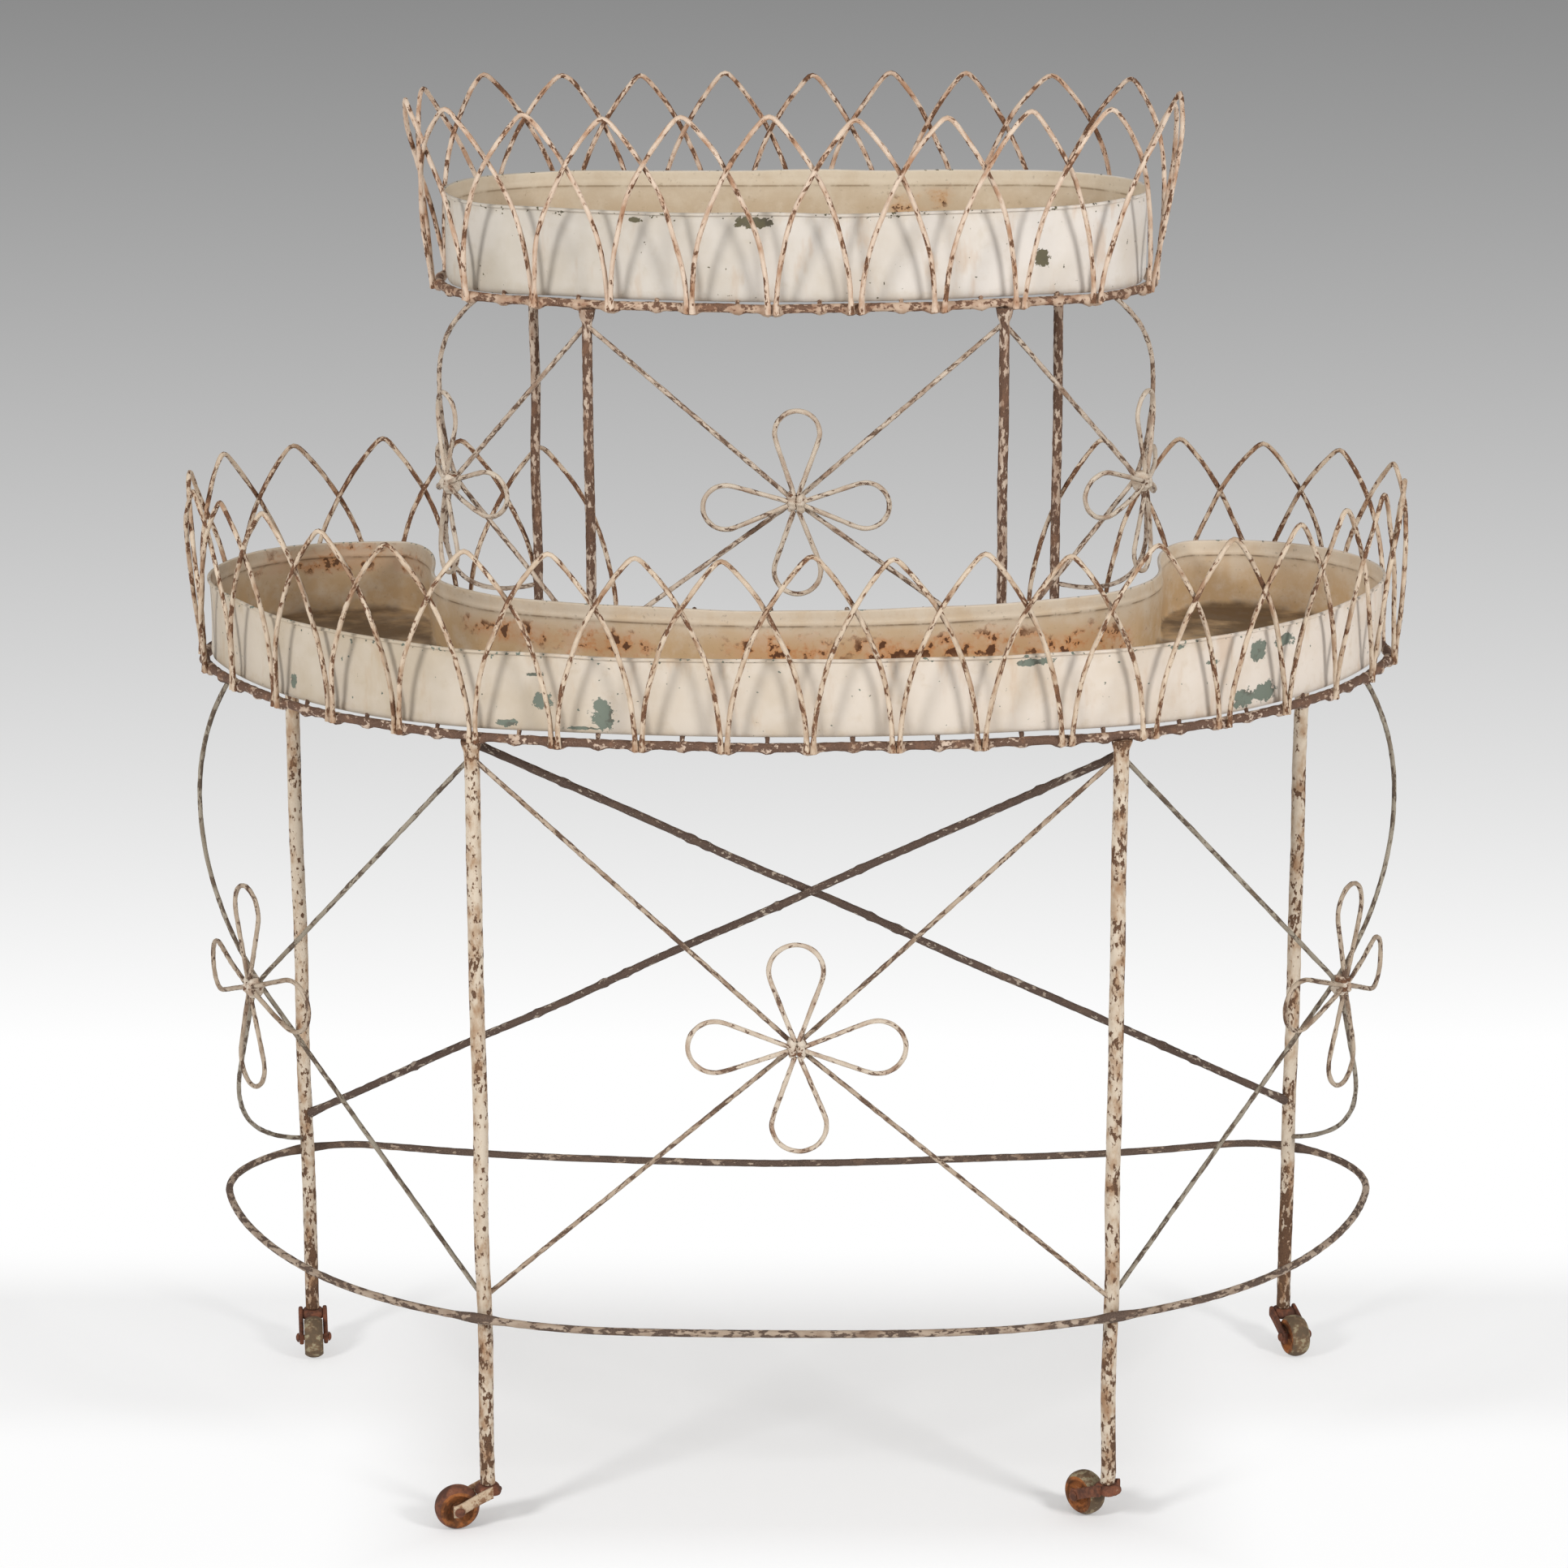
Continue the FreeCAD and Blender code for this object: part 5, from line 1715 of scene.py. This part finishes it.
@dataclass
class Contour:
    """A closed outline in plan as points and outward directions, run through anticlockwise."""

    points: Array
    normals: Array

    @classmethod
    def of_outline(cls, plan: Outline, offset: float, step: float) -> "Contour":
        """A whole half-round outline, moved outwards by an offset."""
        places = plan.all_round(step)
        return cls(plan.at(places, 0.0, offset), plan.outward(places))

    @classmethod
    def crescent(
        cls, plan: Outline, bay: Outline, setback: float, gap: float, corner: float, step: float,
    ) -> "Contour":
        """The lower liner's outline: round the outside, round a wing's corner, in along the bay's
        side, round the bay, and out again.

        Args:
            plan: the lower outline.
            bay: the upper outline, which the bay goes round.
            setback: how far the liner stands inside the lower outline.
            gap: how far the bay's wall stands outside the upper outline.
            corner: how far the wings' corners are rounded in width, as quarters of ellipses.
            step: distance between points.

        Returns:
            The contour.
        """
        half, back = bay.half_width + gap, plan.back_y - setback
        last = plan.half_length - (half + corner)
        places = np.linspace(-last, last, int(2 * last / step))
        outer = plan.at(places, 0.0, -setback), plan.outward(places)
        bay_front = float(bay.y_mids[-1])
        deep = back - bay_front
        turn = np.linspace(0, math.pi / 2, int(2 * deep / step))[1:-1]
        middle = np.array([half + corner, bay_front, 0.0])
        side_points = np.stack([-corner * np.sin(turn), deep * np.cos(turn), 0 * turn], axis=-1)
        side_normals = unit(side_points / np.array([corner**2, deep**2, 1.0]))
        widest = float(bay.marks[1] + bay.radii[2] * (math.pi / 2 - bay.starts[2]))
        inner_places = np.linspace(widest, -widest, int(2 * widest / step))
        inner = bay.at(inner_places, 0.0, gap), -bay.outward(inner_places)
        right_points = middle + side_points
        mirror = np.array([-1.0, 1.0, 1.0])
        points = [outer[0], right_points, inner[0], right_points[::-1] * mirror]
        normals = [outer[1], side_normals, inner[1], side_normals[::-1] * mirror]
        return cls(np.concatenate(points), np.concatenate(normals))


@dataclass
class Liner:
    """A sheet-metal liner: thin floor and walls, a rolled rim and a bead pressed in below it.

    Its lip doubles in depth, and flares out, where it is further to the side than the lip's spread.
    """

    name: str
    contour: Contour
    outside: Material
    inside: Material
    sheet: float = 1.2 * MM
    fillet: float = 2.5 * MM
    roll: float = 1.5 * MM
    bead: float = 1.3 * MM
    waviness: float = 0.7 * MM
    rim_waviness: float = 0.5 * MM
    lip: float = 2.4 * MM
    lip_spread: Pair = (0.2, 0.34)
    lip_flare: float = 1.5 * MM

    def profile(self, depth: float) -> tuple[Array, int]:
        """The wall's section, as offset outwards and height over the floor's underside.

        It runs from the underside of the floor round the bottom corner, up the outside, over the
        rolled rim, down the inside past the bead and onto the floor.

        Args:
            depth: height of the liner.

        Returns:
            The section, and the number of its points that lie outside.
        """
        inner_edge = -5 * self.fillet
        quarter = np.linspace(0, math.pi / 2, 5)
        sine, cosine = self.fillet * (1 - np.sin(quarter)), self.fillet * (1 - np.cos(quarter))
        corner = np.stack([-sine, cosine], axis=-1)
        under = line([inner_edge, 0], [-self.fillet - 1 * MM, 0], 2)
        wall = line([0, self.fillet + 2 * MM], [0, depth - 2.4 * self.roll], 9)
        round_rim = np.linspace(-0.6 * math.pi, 1.05 * math.pi, 16)
        middle = np.array([self.roll - self.sheet * 0.9, depth - self.roll])
        rim = middle + self.roll * np.stack([np.cos(round_rim), np.sin(round_rim)], axis=-1)
        down = np.linspace(depth - 2.6 * self.roll, self.fillet + self.sheet + 2 * MM, 26)
        ridge = bump(down - (depth - BEAD_DROP), 1.6 * MM)
        inner = np.stack([-self.sheet - self.bead * ridge, down], axis=-1)
        foot = np.stack([-self.sheet - cosine, self.sheet + sine], axis=-1)
        floor = np.array([[inner_edge, self.sheet]])
        outside = np.concatenate([under, corner, wall, rim])
        return np.concatenate([outside, inner, foot, floor]), len(outside)

    def build(self, draws: Draws) -> None:
        """Makes the liner, with walls that wave a little and a folded lip under the front's edge.

        A point is the contour's plus the section's offset along the outward direction, at the
        section's height.

        Args:
            draws: where random numbers come from.
        """
        extent = Extent.of(self.name)
        depth = float(extent.size[2])
        profile, outside = self.profile(depth)
        contour = self.contour
        closed = np.concatenate([contour.points, contour.points[:1]])
        along = run_lengths(closed)[:-1]
        whole = float(run_lengths(closed)[-1])
        wave = Unevenness(draws, 60 * MM, 300 * MM, 6)
        level = held(profile[:, 1] / depth)
        share = np.sin(math.pi * level) * (profile[:, 0] > -3 * self.sheet)
        lean = wave.along(along, whole)[:, None] * self.waviness * share
        lift = Unevenness(draws, 80 * MM, 400 * MM, 5).along(along, whole)[:, None]
        rise = lift * self.rim_waviness * level**2
        lowered = held(1 - profile[:, 1] / (2 * self.fillet)) * (profile[:, 0] > -1.2 * self.fillet)
        lowered = lowered * (np.arange(len(profile)) < outside)
        in_front = held(-3 * contour.normals[:, 1])[:, None]
        aside = np.interp(np.abs(contour.points[:, :1]), self.lip_spread, (0.0, 1.0)) * in_front
        offset = profile[None, :, 0] + lean + self.lip_flare * aside * lowered
        height = extent.low[2] + profile[None, :, 1] + rise - self.lip * (in_front + aside) * lowered
        points = contour.points[:, None] + offset[..., None] * contour.normals[:, None]
        points = points + height[..., None] * UP
        finish = (np.arange(len(profile)) >= outside - 3).astype(int)
        shell = Shell()
        shell.grid(points, True, False, True, finish=finish)
        materials = [self.outside, self.inside]
        shell.build(f"{self.name}_sheet", self.name, Slot.SHEET, materials, self.name, sharp=60)


@dataclass
class Caster:
    """A swivel caster: a bell-shaped crown with ragged corners, two arms that hug the wheel, and a
    hollow barrel wheel on a riveted axle."""

    place: str
    trail_turn: float
    leg: Post
    iron: Material
    arm_iron: Material
    tread_iron: Material
    hollow_iron: Material
    wheel: float = 38 * MM
    width: float = 17 * MM
    dish: float = 25 * MM
    web: float = 8 * MM
    tread_drop: float = 3.2 * MM
    hub_wall: float = 3.2 * MM
    boss: float = 1.2 * MM
    play: float = 0.05 * MM
    trail: float = 27 * MM
    axle: float = 5 * MM
    cheek: float = 4.4 * MM
    side_gap: float = 0.4 * MM
    eye: float = 11.4 * MM
    arm_half: float = 5.2 * MM
    arm_start: float = 2 * MM
    arm_drop: float = 3.5 * MM
    head: float = 4.3 * MM
    dome: float = 2.6 * MM
    nub: float = 2.6 * MM
    crown_top: float = 36.4 * MM
    crown_bottom: float = 28.4 * MM
    crown_reach: float = 11.6 * MM
    pin: float = 7.1 * MM

    def frame_axes(self) -> tuple[Array, Array, Array]:
        """The caster's own axes.

        Returns:
            The way the wheel trails, the axle's direction and the foot of the leg's axis.
        """
        turn = math.radians(self.trail_turn)
        ahead = np.array([math.cos(turn), math.sin(turn), 0.0])
        return ahead, np.cross(UP, ahead), self.leg.axis(0.0)

    def build(self, draws: Draws) -> None:
        """Makes the fork with its crown, the wheel and the axle.

        Args:
            draws: where random numbers come from.
        """
        self.build_wheel()
        self.build_fork(draws)
        self.build_axle()

    def build_wheel(self) -> None:
        """Makes the wheel: a rounded barrel with a deep dish in each face and a bored hub.

        The tread's radius falls with the power 2.6 of the way to its edge, and the dish deepens
        towards the hub as a quarter sine to the power 0.8.
        """
        ahead, across, foot = self.frame_axes()
        hub = foot + ahead * self.trail + UP * self.wheel / 2
        radius, half, dish, web = self.wheel / 2, self.width / 2, self.dish / 2, self.web / 2
        bore = self.axle / 2 + self.play
        wall, boss_end = bore + self.hub_wall, web + self.boss
        bulge = np.linspace(-1, 1, 13)
        tread = np.stack([radius - self.tread_drop * np.abs(bulge) ** 2.6, bulge * half], axis=-1)
        slope = np.linspace(0, 1, 8)
        lip = dish + 0.6 * MM
        sunk = half - (half - web) * np.sin(slope * math.pi / 2) ** 0.8
        hollow = np.stack([lip + (wall + 0.3 * MM - lip) * slope, sunk], axis=-1)
        right = np.concatenate([hollow, [[wall, boss_end], [bore, boss_end]]])
        left = right[::-1] * np.array([1.0, -1.0])
        profile = np.concatenate([tread, right, left])
        finish = (np.arange(len(profile)) >= len(tread) - 1).astype(int)
        shell = Shell()
        shell.lathe(profile, hub, across, 48, loop=True, finish=finish)
        name = f"barrel_wheel_{self.place}"
        finishes = [self.tread_iron, self.hollow_iron]
        shell.build(name, f"wheel_{self.place}", Slot.WHEEL, finishes, f"caster_wheel_{self.place}")

    def arm(self, side: float) -> Array:
        """One arm as a grid: a rounded rectangle carried from the crown down to the axle's eye.

        The arm's middle line falls from the crown to the eye, its depth is even and then opens
        round the axle, and its section's corners are rounded as a power curve.

        Args:
            side: which cheek, -1 or 1.

        Returns:
            Rows along the arm by columns round its section.
        """
        ahead, across, foot = self.frame_axes()
        share = np.linspace(0, 1, 22)
        forward = -self.arm_start + (self.trail + self.eye * 0.42 + self.arm_start) * share
        top = self.crown_top - self.arm_drop
        height = top + (self.wheel / 2 - top) * held(share * 1.12) ** 1.15
        eye = np.sqrt(held(1 - ((forward - self.trail) / (self.eye / 2)) ** 2)) * self.eye / 2
        deep = np.maximum(self.arm_half, eye)
        turn = all_turns(16)
        flat, tall = squared(np.cos(turn), 0.5), squared(np.sin(turn), 0.7)
        cheek_middle = self.width / 2 + self.side_gap + self.cheek / 2
        centre = foot + forward[:, None] * ahead + height[:, None] * UP + across * side * cheek_middle
        points = centre[:, None] + flat[None, :, None] * across * self.cheek / 2
        return points + (deep[:, None] * tall[None])[..., None] * UP

    def build_fork(self, draws: Draws) -> None:
        """Makes the fork: two arms, a bell-shaped crown with four ragged corners, and a small nub.

        Where the crown is wide, its radius is its width times 1 - 0.1 * cos(4 * turn) - 0.14 *
        |cos turn| ** 3, made rough. The nub is a ball on the side away from the wheel.

        Args:
            draws: where random numbers come from.
        """
        ahead, _, foot = self.frame_axes()
        shell = Shell()
        for side in (-1.0, 1.0):
            shell.grid(self.arm(side), False, True, True, finish=1)
        drop = self.crown_top - self.crown_bottom
        heights = np.array([0.0, 0.06, 0.25, 0.5, 0.72, 0.88, 0.97, 1.0])
        widths = np.array([0.8, 0.94, 1.0, 0.98, 0.9, 0.8, 0.7, 0.62])
        outer = np.stack([widths * self.crown_reach, self.crown_bottom + heights * drop], axis=-1)
        bore = self.pin / 2
        inner = np.array([[bore, self.crown_top], [bore, self.crown_bottom]])
        profile = np.concatenate([outer, inner])
        turns = 48
        angle = all_turns(turns)[:, None] - math.radians(self.trail_turn)
        corners = 1 - 0.1 * np.cos(4 * angle) - 0.14 * np.abs(np.cos(angle)) ** 3
        rough = 1 + 0.035 * Unevenness(draws, 0.9, 3.0).over(angle[:, 0], np.zeros(1))
        shape = 1 + (corners * rough - 1) * held(widths * 2 - 1.2)
        radial = np.concatenate([shape, np.ones((turns, len(inner)))], axis=1)
        shell.lathe(profile, foot, UP, turns, loop=True, radial=radial)
        nub = foot - ahead * self.crown_reach * 0.8 + UP * (self.crown_bottom + 2.5 * MM)
        rise = np.linspace(-0.46 * math.pi, 0.46 * math.pi, 9)
        ball = np.stack([np.cos(rise), np.sin(rise)], axis=-1) * self.nub
        shell.lathe(ball, nub, -ahead - 0.6 * UP, 14)
        name = f"star_crown_fork_{self.place}"
        finishes = [self.iron, self.arm_iron]
        shell.build(name, f"swivel_{self.place}", Slot.CASTER, finishes, f"caster_fork_{self.place}")

    def build_axle(self) -> None:
        """Makes the axle with its two hammered heads, each a dome of (cos rise, sin rise)."""
        ahead, across, foot = self.frame_axes()
        hub = foot + ahead * self.trail + UP * self.wheel / 2
        shank = self.width / 2 + self.side_gap + self.cheek + 0.1 * MM
        rise = np.linspace(0, 0.45 * math.pi, 7)
        level = shank + 0.4 * MM + self.dome * np.sin(rise)
        right = np.stack([self.head * np.cos(rise), level], axis=-1)
        step = np.array([[self.axle / 2, shank], [self.head * 0.96, shank]])
        half = np.concatenate([step, right])
        left = half[::-1] * np.array([1.0, -1.0])
        shell = Shell()
        shell.lathe(np.concatenate([left, half]), hub, across, 24)
        name = f"riveted_axle_{self.place}"
        shell.build(name, f"swivel_{self.place}", Slot.CASTER, [self.iron], f"caster_axle_{self.place}")


@dataclass
class Studio:
    """The floor, the two soft lights, the even surrounding light and the camera."""

    white: tuple[float, float, float, float] = (0.95, 0.95, 0.95, 1.0)
    light_power: float = 62.0
    light_size: float = 0.8
    light_place: Triple = (2.3, -2.3, 2.1)
    light_aim: Triple = (0.0, 0.0, 0.55)
    surround: float = 0.42
    fade_behind: Pair = (0.16, 0.44)
    rear_band: Pair = (-0.05, 0.08)
    rear_share: float = 0.45
    fade_ahead: Pair = (0.16, 0.32)
    fade_aside: Pair = (0.24, 0.42)
    side_glow: float = 0.9
    least_glow: float = 0.12
    nearest: float = 0.5
    floor_half: float = 60.0
    grey_slope: float = 1.843
    grey_start: float = 0.357
    screen_power: float = 2.2
    camera_place: Triple = (0.0034, -3.6304, 1.6316)
    pitch: float = 0.2777
    yaw: float = 0.0039
    roll: float = -0.0026
    focal_share: float = 5450.9 / 1932

    def floor_material(self) -> Material:
        """White floor that takes the object's shadow and falls off into grey far behind it.

        To the camera and in reflections the floor behind, ahead of and beside the object is an even
        glow, less of it beside the rear casters. Its grey, as a screen shows it, falls in a straight
        line with one over the distance from the camera.

        Returns:
            The material.
        """
        graph = Graph("studio_floor")
        place = graph.place()
        depth, aside = graph.coordinate(place, 1), graph.coordinate(place, 0).math("ABSOLUTE")
        distance = (depth - self.camera_place[1]).most(self.nearest)
        nearness = distance.math("POWER", -1.0) * self.camera_place[2]
        shown = nearness.math("MULTIPLY_ADD", self.grey_slope, self.grey_start, clamp=True)
        grey = shown.math("POWER", self.screen_power)
        rays = graph.node("ShaderNodeLightPath")
        seen = Term(graph, rays.outputs["Is Camera Ray"])
        seen = seen.most(Term(graph, rays.outputs["Is Glossy Ray"]))
        seen = seen.most(Term(graph, rays.outputs["Is Transmission Ray"]))
        diffuse = graph.term("ShaderNodeBsdfDiffuse", None, {"Color": self.white})
        glow = graph.term("ShaderNodeEmission", None, {"Color": grey, "Strength": 1.0})
        beside = aside.step(*self.fade_aside) * (1 - depth.step(*self.rear_band) * self.rear_share)
        far = depth.step(*self.fade_behind).most(beside * self.side_glow)
        far = far.most((depth * -1.0).step(*self.fade_ahead) * self.side_glow).most(self.least_glow)
        surface = graph.term("ShaderNodeMixShader", None, {0: far * seen, 1: diffuse, 2: glow})
        graph.node("ShaderNodeOutputMaterial", None, {"Surface": surface})
        return graph.material

    def build(self) -> None:
        """Makes the floor, the lights, the world and the camera."""
        mesh = bpy.data.meshes.new("studio_floor")
        half = self.floor_half
        corners = [(-half, -half, 0), (half, -half, 0), (half, half, 0), (-half, half, 0)]
        mesh.from_pydata(corners, [], [(0, 1, 2, 3)])
        mesh.materials.append(self.floor_material())
        floor = bpy.data.objects.new("studio_floor", mesh)
        bpy.context.scene.collection.objects.link(floor)
        for side in Side:
            lamp = bpy.data.lights.new(f"soft_light_{side.word}", "AREA")
            lamp.shape, lamp.size, lamp.energy = "DISK", self.light_size, self.light_power
            light = bpy.data.objects.new(lamp.name, lamp)
            place = np.array(self.light_place) * [side.value, 1, 1]
            light.matrix_world = look_matrix(place, unit(np.array(self.light_aim) - place))
            bpy.context.scene.collection.objects.link(light)
        self.build_world()
        self.build_camera()

    def build_world(self) -> None:
        """Makes the even light from all round, and the pale grey that the camera sees past the floor."""
        world = bpy.data.worlds.new("studio")
        world.use_nodes = True
        world.node_tree.nodes["Background"].inputs["Color"].default_value = (1.0, 1.0, 1.0, 1.0)
        world.node_tree.nodes["Background"].inputs["Strength"].default_value = self.surround
        bpy.context.scene.world = world

    def build_camera(self) -> None:
        """Makes the camera: turned from straight down by yaw, tipped up to the pitch, then rolled."""
        lens = bpy.data.cameras.new("studio_camera")
        lens.sensor_width = 36.0
        lens.lens = lens.sensor_width * self.focal_share
        lens.dof.use_dof = False
        camera = bpy.data.objects.new("studio_camera", lens)
        turned = Matrix.Rotation(self.yaw, 4, "Z") @ Matrix.Rotation(math.pi / 2 - self.pitch, 4, "X")
        turned = turned @ Matrix.Rotation(self.roll, 4, "Z")
        camera.matrix_world = Matrix.Translation(self.camera_place) @ turned
        bpy.context.scene.collection.objects.link(camera)
        bpy.context.scene.camera = camera
        bpy.context.scene.view_settings.view_transform = "Standard"


def look_matrix(place: Array, aim: Array) -> Matrix:
    """The placement of a lamp at a place, shining along a direction.

    Args:
        place: where the lamp is.
        aim: the direction, of length 1.

    Returns:
        The matrix, whose columns are the lamp's three axes and its place.
    """
    side = unit(np.cross(aim, UP))
    up = np.cross(side, aim)
    columns = np.stack([side, up, -aim, place], axis=-1)
    return Matrix(np.concatenate([columns, [[0.0, 0.0, 0.0, 1.0]]]).tolist())


@dataclass
class Tier:
    """The panels under one ring, between its posts.

    Spreads are how far the front and the rear posts stand from the middle. Shares are where the side
    flower and the scroll's end lie between them. Curves are the sagging wire's inset and the scrolled
    one's swing and bulge. Wires and petals each have a finish in front and one at the sides.
    """

    name: str
    plan: Outline
    height: float
    flower: Flower
    posts: dict[str, Post]
    spreads: Pair
    shares: Pair
    curves: Triple
    foot: float
    wires: tuple[Material, Material]
    petals: tuple[Material, Material]
    knot: Material
    ring_radius: float = 3.75 * MM
    top_drop: float = 17 * MM

    def build_panels(self, draws: Draws) -> None:
        """Makes the front panel and the two side panels.

        Args:
            draws: where random numbers come from.
        """
        top = self.height - self.top_drop
        front = FrontPanel(
            f"{self.name}_front", self.flower, self.wires[0], self.petals[0], self.knot,
            left=self.posts["front_left"], right=self.posts["front_right"], top=top, foot=self.foot,
        )
        front.build(draws)
        inset, swing, bulge = self.curves
        for side in Side:
            panel = SidePanel(
                f"{self.name}_{side.word}", self.flower, self.wires[1], self.petals[1], self.knot,
                plan=self.plan, side=side, front=self.posts[f"front_{side.word}"],
                rear=self.posts[f"rear_{side.word}"], spreads=self.spreads, flower_share=self.shares[0],
                scroll_share=self.shares[1], top=top, foot=self.foot,
                ring_bottom=self.height - self.ring_radius, inset=inset, swing=swing, bulge=bulge,
            )
            panel.build(draws)


def build_stand() -> None:
    """Builds the whole stand round the frame, from the casters to the upper gallery."""
    draws = np.random.default_rng(20)
    finishes = Finishes(Extent.of("lower_liner"), Extent.of("upper_liner"))
    lower_plan = ring_outline("lower_tray_ring", end_radius=126 * MM, turns=(11.5, 68.0))
    upper_plan = ring_outline("upper_tray_ring", end_radius=112 * MM, turns=(23.0, 72.0))
    lower_height = float(Extent.of("lower_tray_ring").middle[2])
    upper_height = float(Extent.of("upper_tray_ring").middle[2])

    legs, uprights = Legs(finishes.leg), Uprights(finishes.upright)
    legs.build(draws)
    uprights.build(draws)
    braces = Braces(finishes.hoop, finishes.brace, legs.posts)
    braces.build_hoop(draws)
    braces.build_braces(draws)
    braces.build_bearer(draws)

    ring, bar = Stock(7.5 * MM, 0.06, 12, 3 * MM), Stock(4.5 * MM, 0.06, 8)
    lower_pitch, lower_shift, lower_stop = 68.2 * MM, 11 * MM, 155 * MM
    upper_count = 2 * round(upper_plan.half_length / (67 * MM))
    upper_pitch, upper_shift = 2 * upper_plan.half_length / upper_count, -14 * MM
    run = lower_plan.half_length - lower_stop - lower_pitch
    first = math.ceil((-run - lower_shift) / lower_pitch)
    last = math.floor((run - lower_shift) / lower_pitch)
    lower_gallery = Gallery(
        "lower", lower_plan, lower_height, ring.radius, flare=11 * MM, pitch=lower_pitch,
        shift=lower_shift, numbers=range(first, last + 1),
        pushes=((-0.79, 0.09, 12 * MM), (0.40, 0.12, 8 * MM)), finish=finishes.lower_gallery,
    )
    upper_gallery = Gallery(
        "upper", upper_plan, upper_height, ring.radius, flare=24 * MM, pitch=upper_pitch,
        shift=upper_shift, numbers=range(upper_count),
        pushes=((-0.585, 0.11, 15 * MM), (-0.06, 0.2, -6 * MM)), finish=finishes.upper_gallery,
    )
    TrayRing(
        "lower", lower_plan, lower_height, lower_pitch, lower_shift, lower_gallery.feet(),
        finishes.lower_ring, ring, bar, bar_shares=(0.5, 1.5, 2.5, 3.5, 4.5, 5.5, 6.5),
    ).build(draws)
    TrayRing(
        "upper", upper_plan, upper_height, upper_pitch, upper_shift, upper_gallery.feet(),
        finishes.upper_ring, ring, bar, bar_shares=(0.5, 1.5, 2.5, 3.5),
    ).build(draws)
    lower_gallery.build(draws)
    upper_gallery.build(draws)

    hoop_height = float(Extent.of("stretcher_hoop").middle[2])
    bearer_top = float(Extent.of("upper_stage_bearer").high[2])
    lower_knot = float(Extent.of("lower_front_knot").middle[2])
    upper_knot = float(Extent.of("upper_front_knot").middle[2])
    Tier(
        "lower", lower_plan, lower_height, Flower(lower_knot, reach=92 * MM, width=50 * MM), legs.posts,
        spreads=(262 * MM, 451 * MM), shares=(0.504, 0.568), curves=(15 * MM, 60 * MM, 17 * MM),
        foot=hoop_height + 14 * MM, wires=(finishes.front_wire, finishes.side_wire),
        petals=(finishes.petal, finishes.side_petal), knot=finishes.knot,
    ).build_panels(draws)
    Tier(
        "upper", upper_plan, upper_height, Flower(upper_knot, reach=80 * MM, width=43 * MM),
        uprights.posts, spreads=(172 * MM, 230 * MM), shares=(0.448, 0.315),
        curves=(1 * MM, 46 * MM, 6 * MM), foot=bearer_top + 14 * MM,
        wires=(finishes.upper_wire, finishes.upper_wire), petals=(finishes.petal, finishes.petal),
        knot=finishes.knot,
    ).build_panels(draws)

    setback, gap, corner, step = 6 * MM, 12 * MM, 40 * MM, 6 * MM
    crescent = Contour.crescent(lower_plan, upper_plan, setback, gap, corner, step)
    Liner("lower_liner", crescent, finishes.lower_outside, finishes.lower_inside).build(draws)
    half_round = Contour.of_outline(upper_plan, -setback, step)
    Liner(
        "upper_liner", half_round, finishes.upper_outside, finishes.upper_inside, lip=4.4 * MM,
    ).build(draws)

    trails = {"front_left": 195.0, "front_right": 130.0, "rear_left": 277.0, "rear_right": 288.0}
    for place, turn in trails.items():
        rusty = place == "front_left"
        arm, tread = (finishes.painted_arm, finishes.caster) if rusty else (finishes.caster, finishes.tread)
        Caster(place, turn, legs.posts[place], finishes.caster, arm, tread, finishes.hollow).build(draws)


def main() -> None:
    """Builds the stand and the studio."""
    logging.basicConfig(level=logging.INFO, format="%(message)s")
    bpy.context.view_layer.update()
    build_stand()
    Studio().build()


if __name__ == "__main__":
    main()
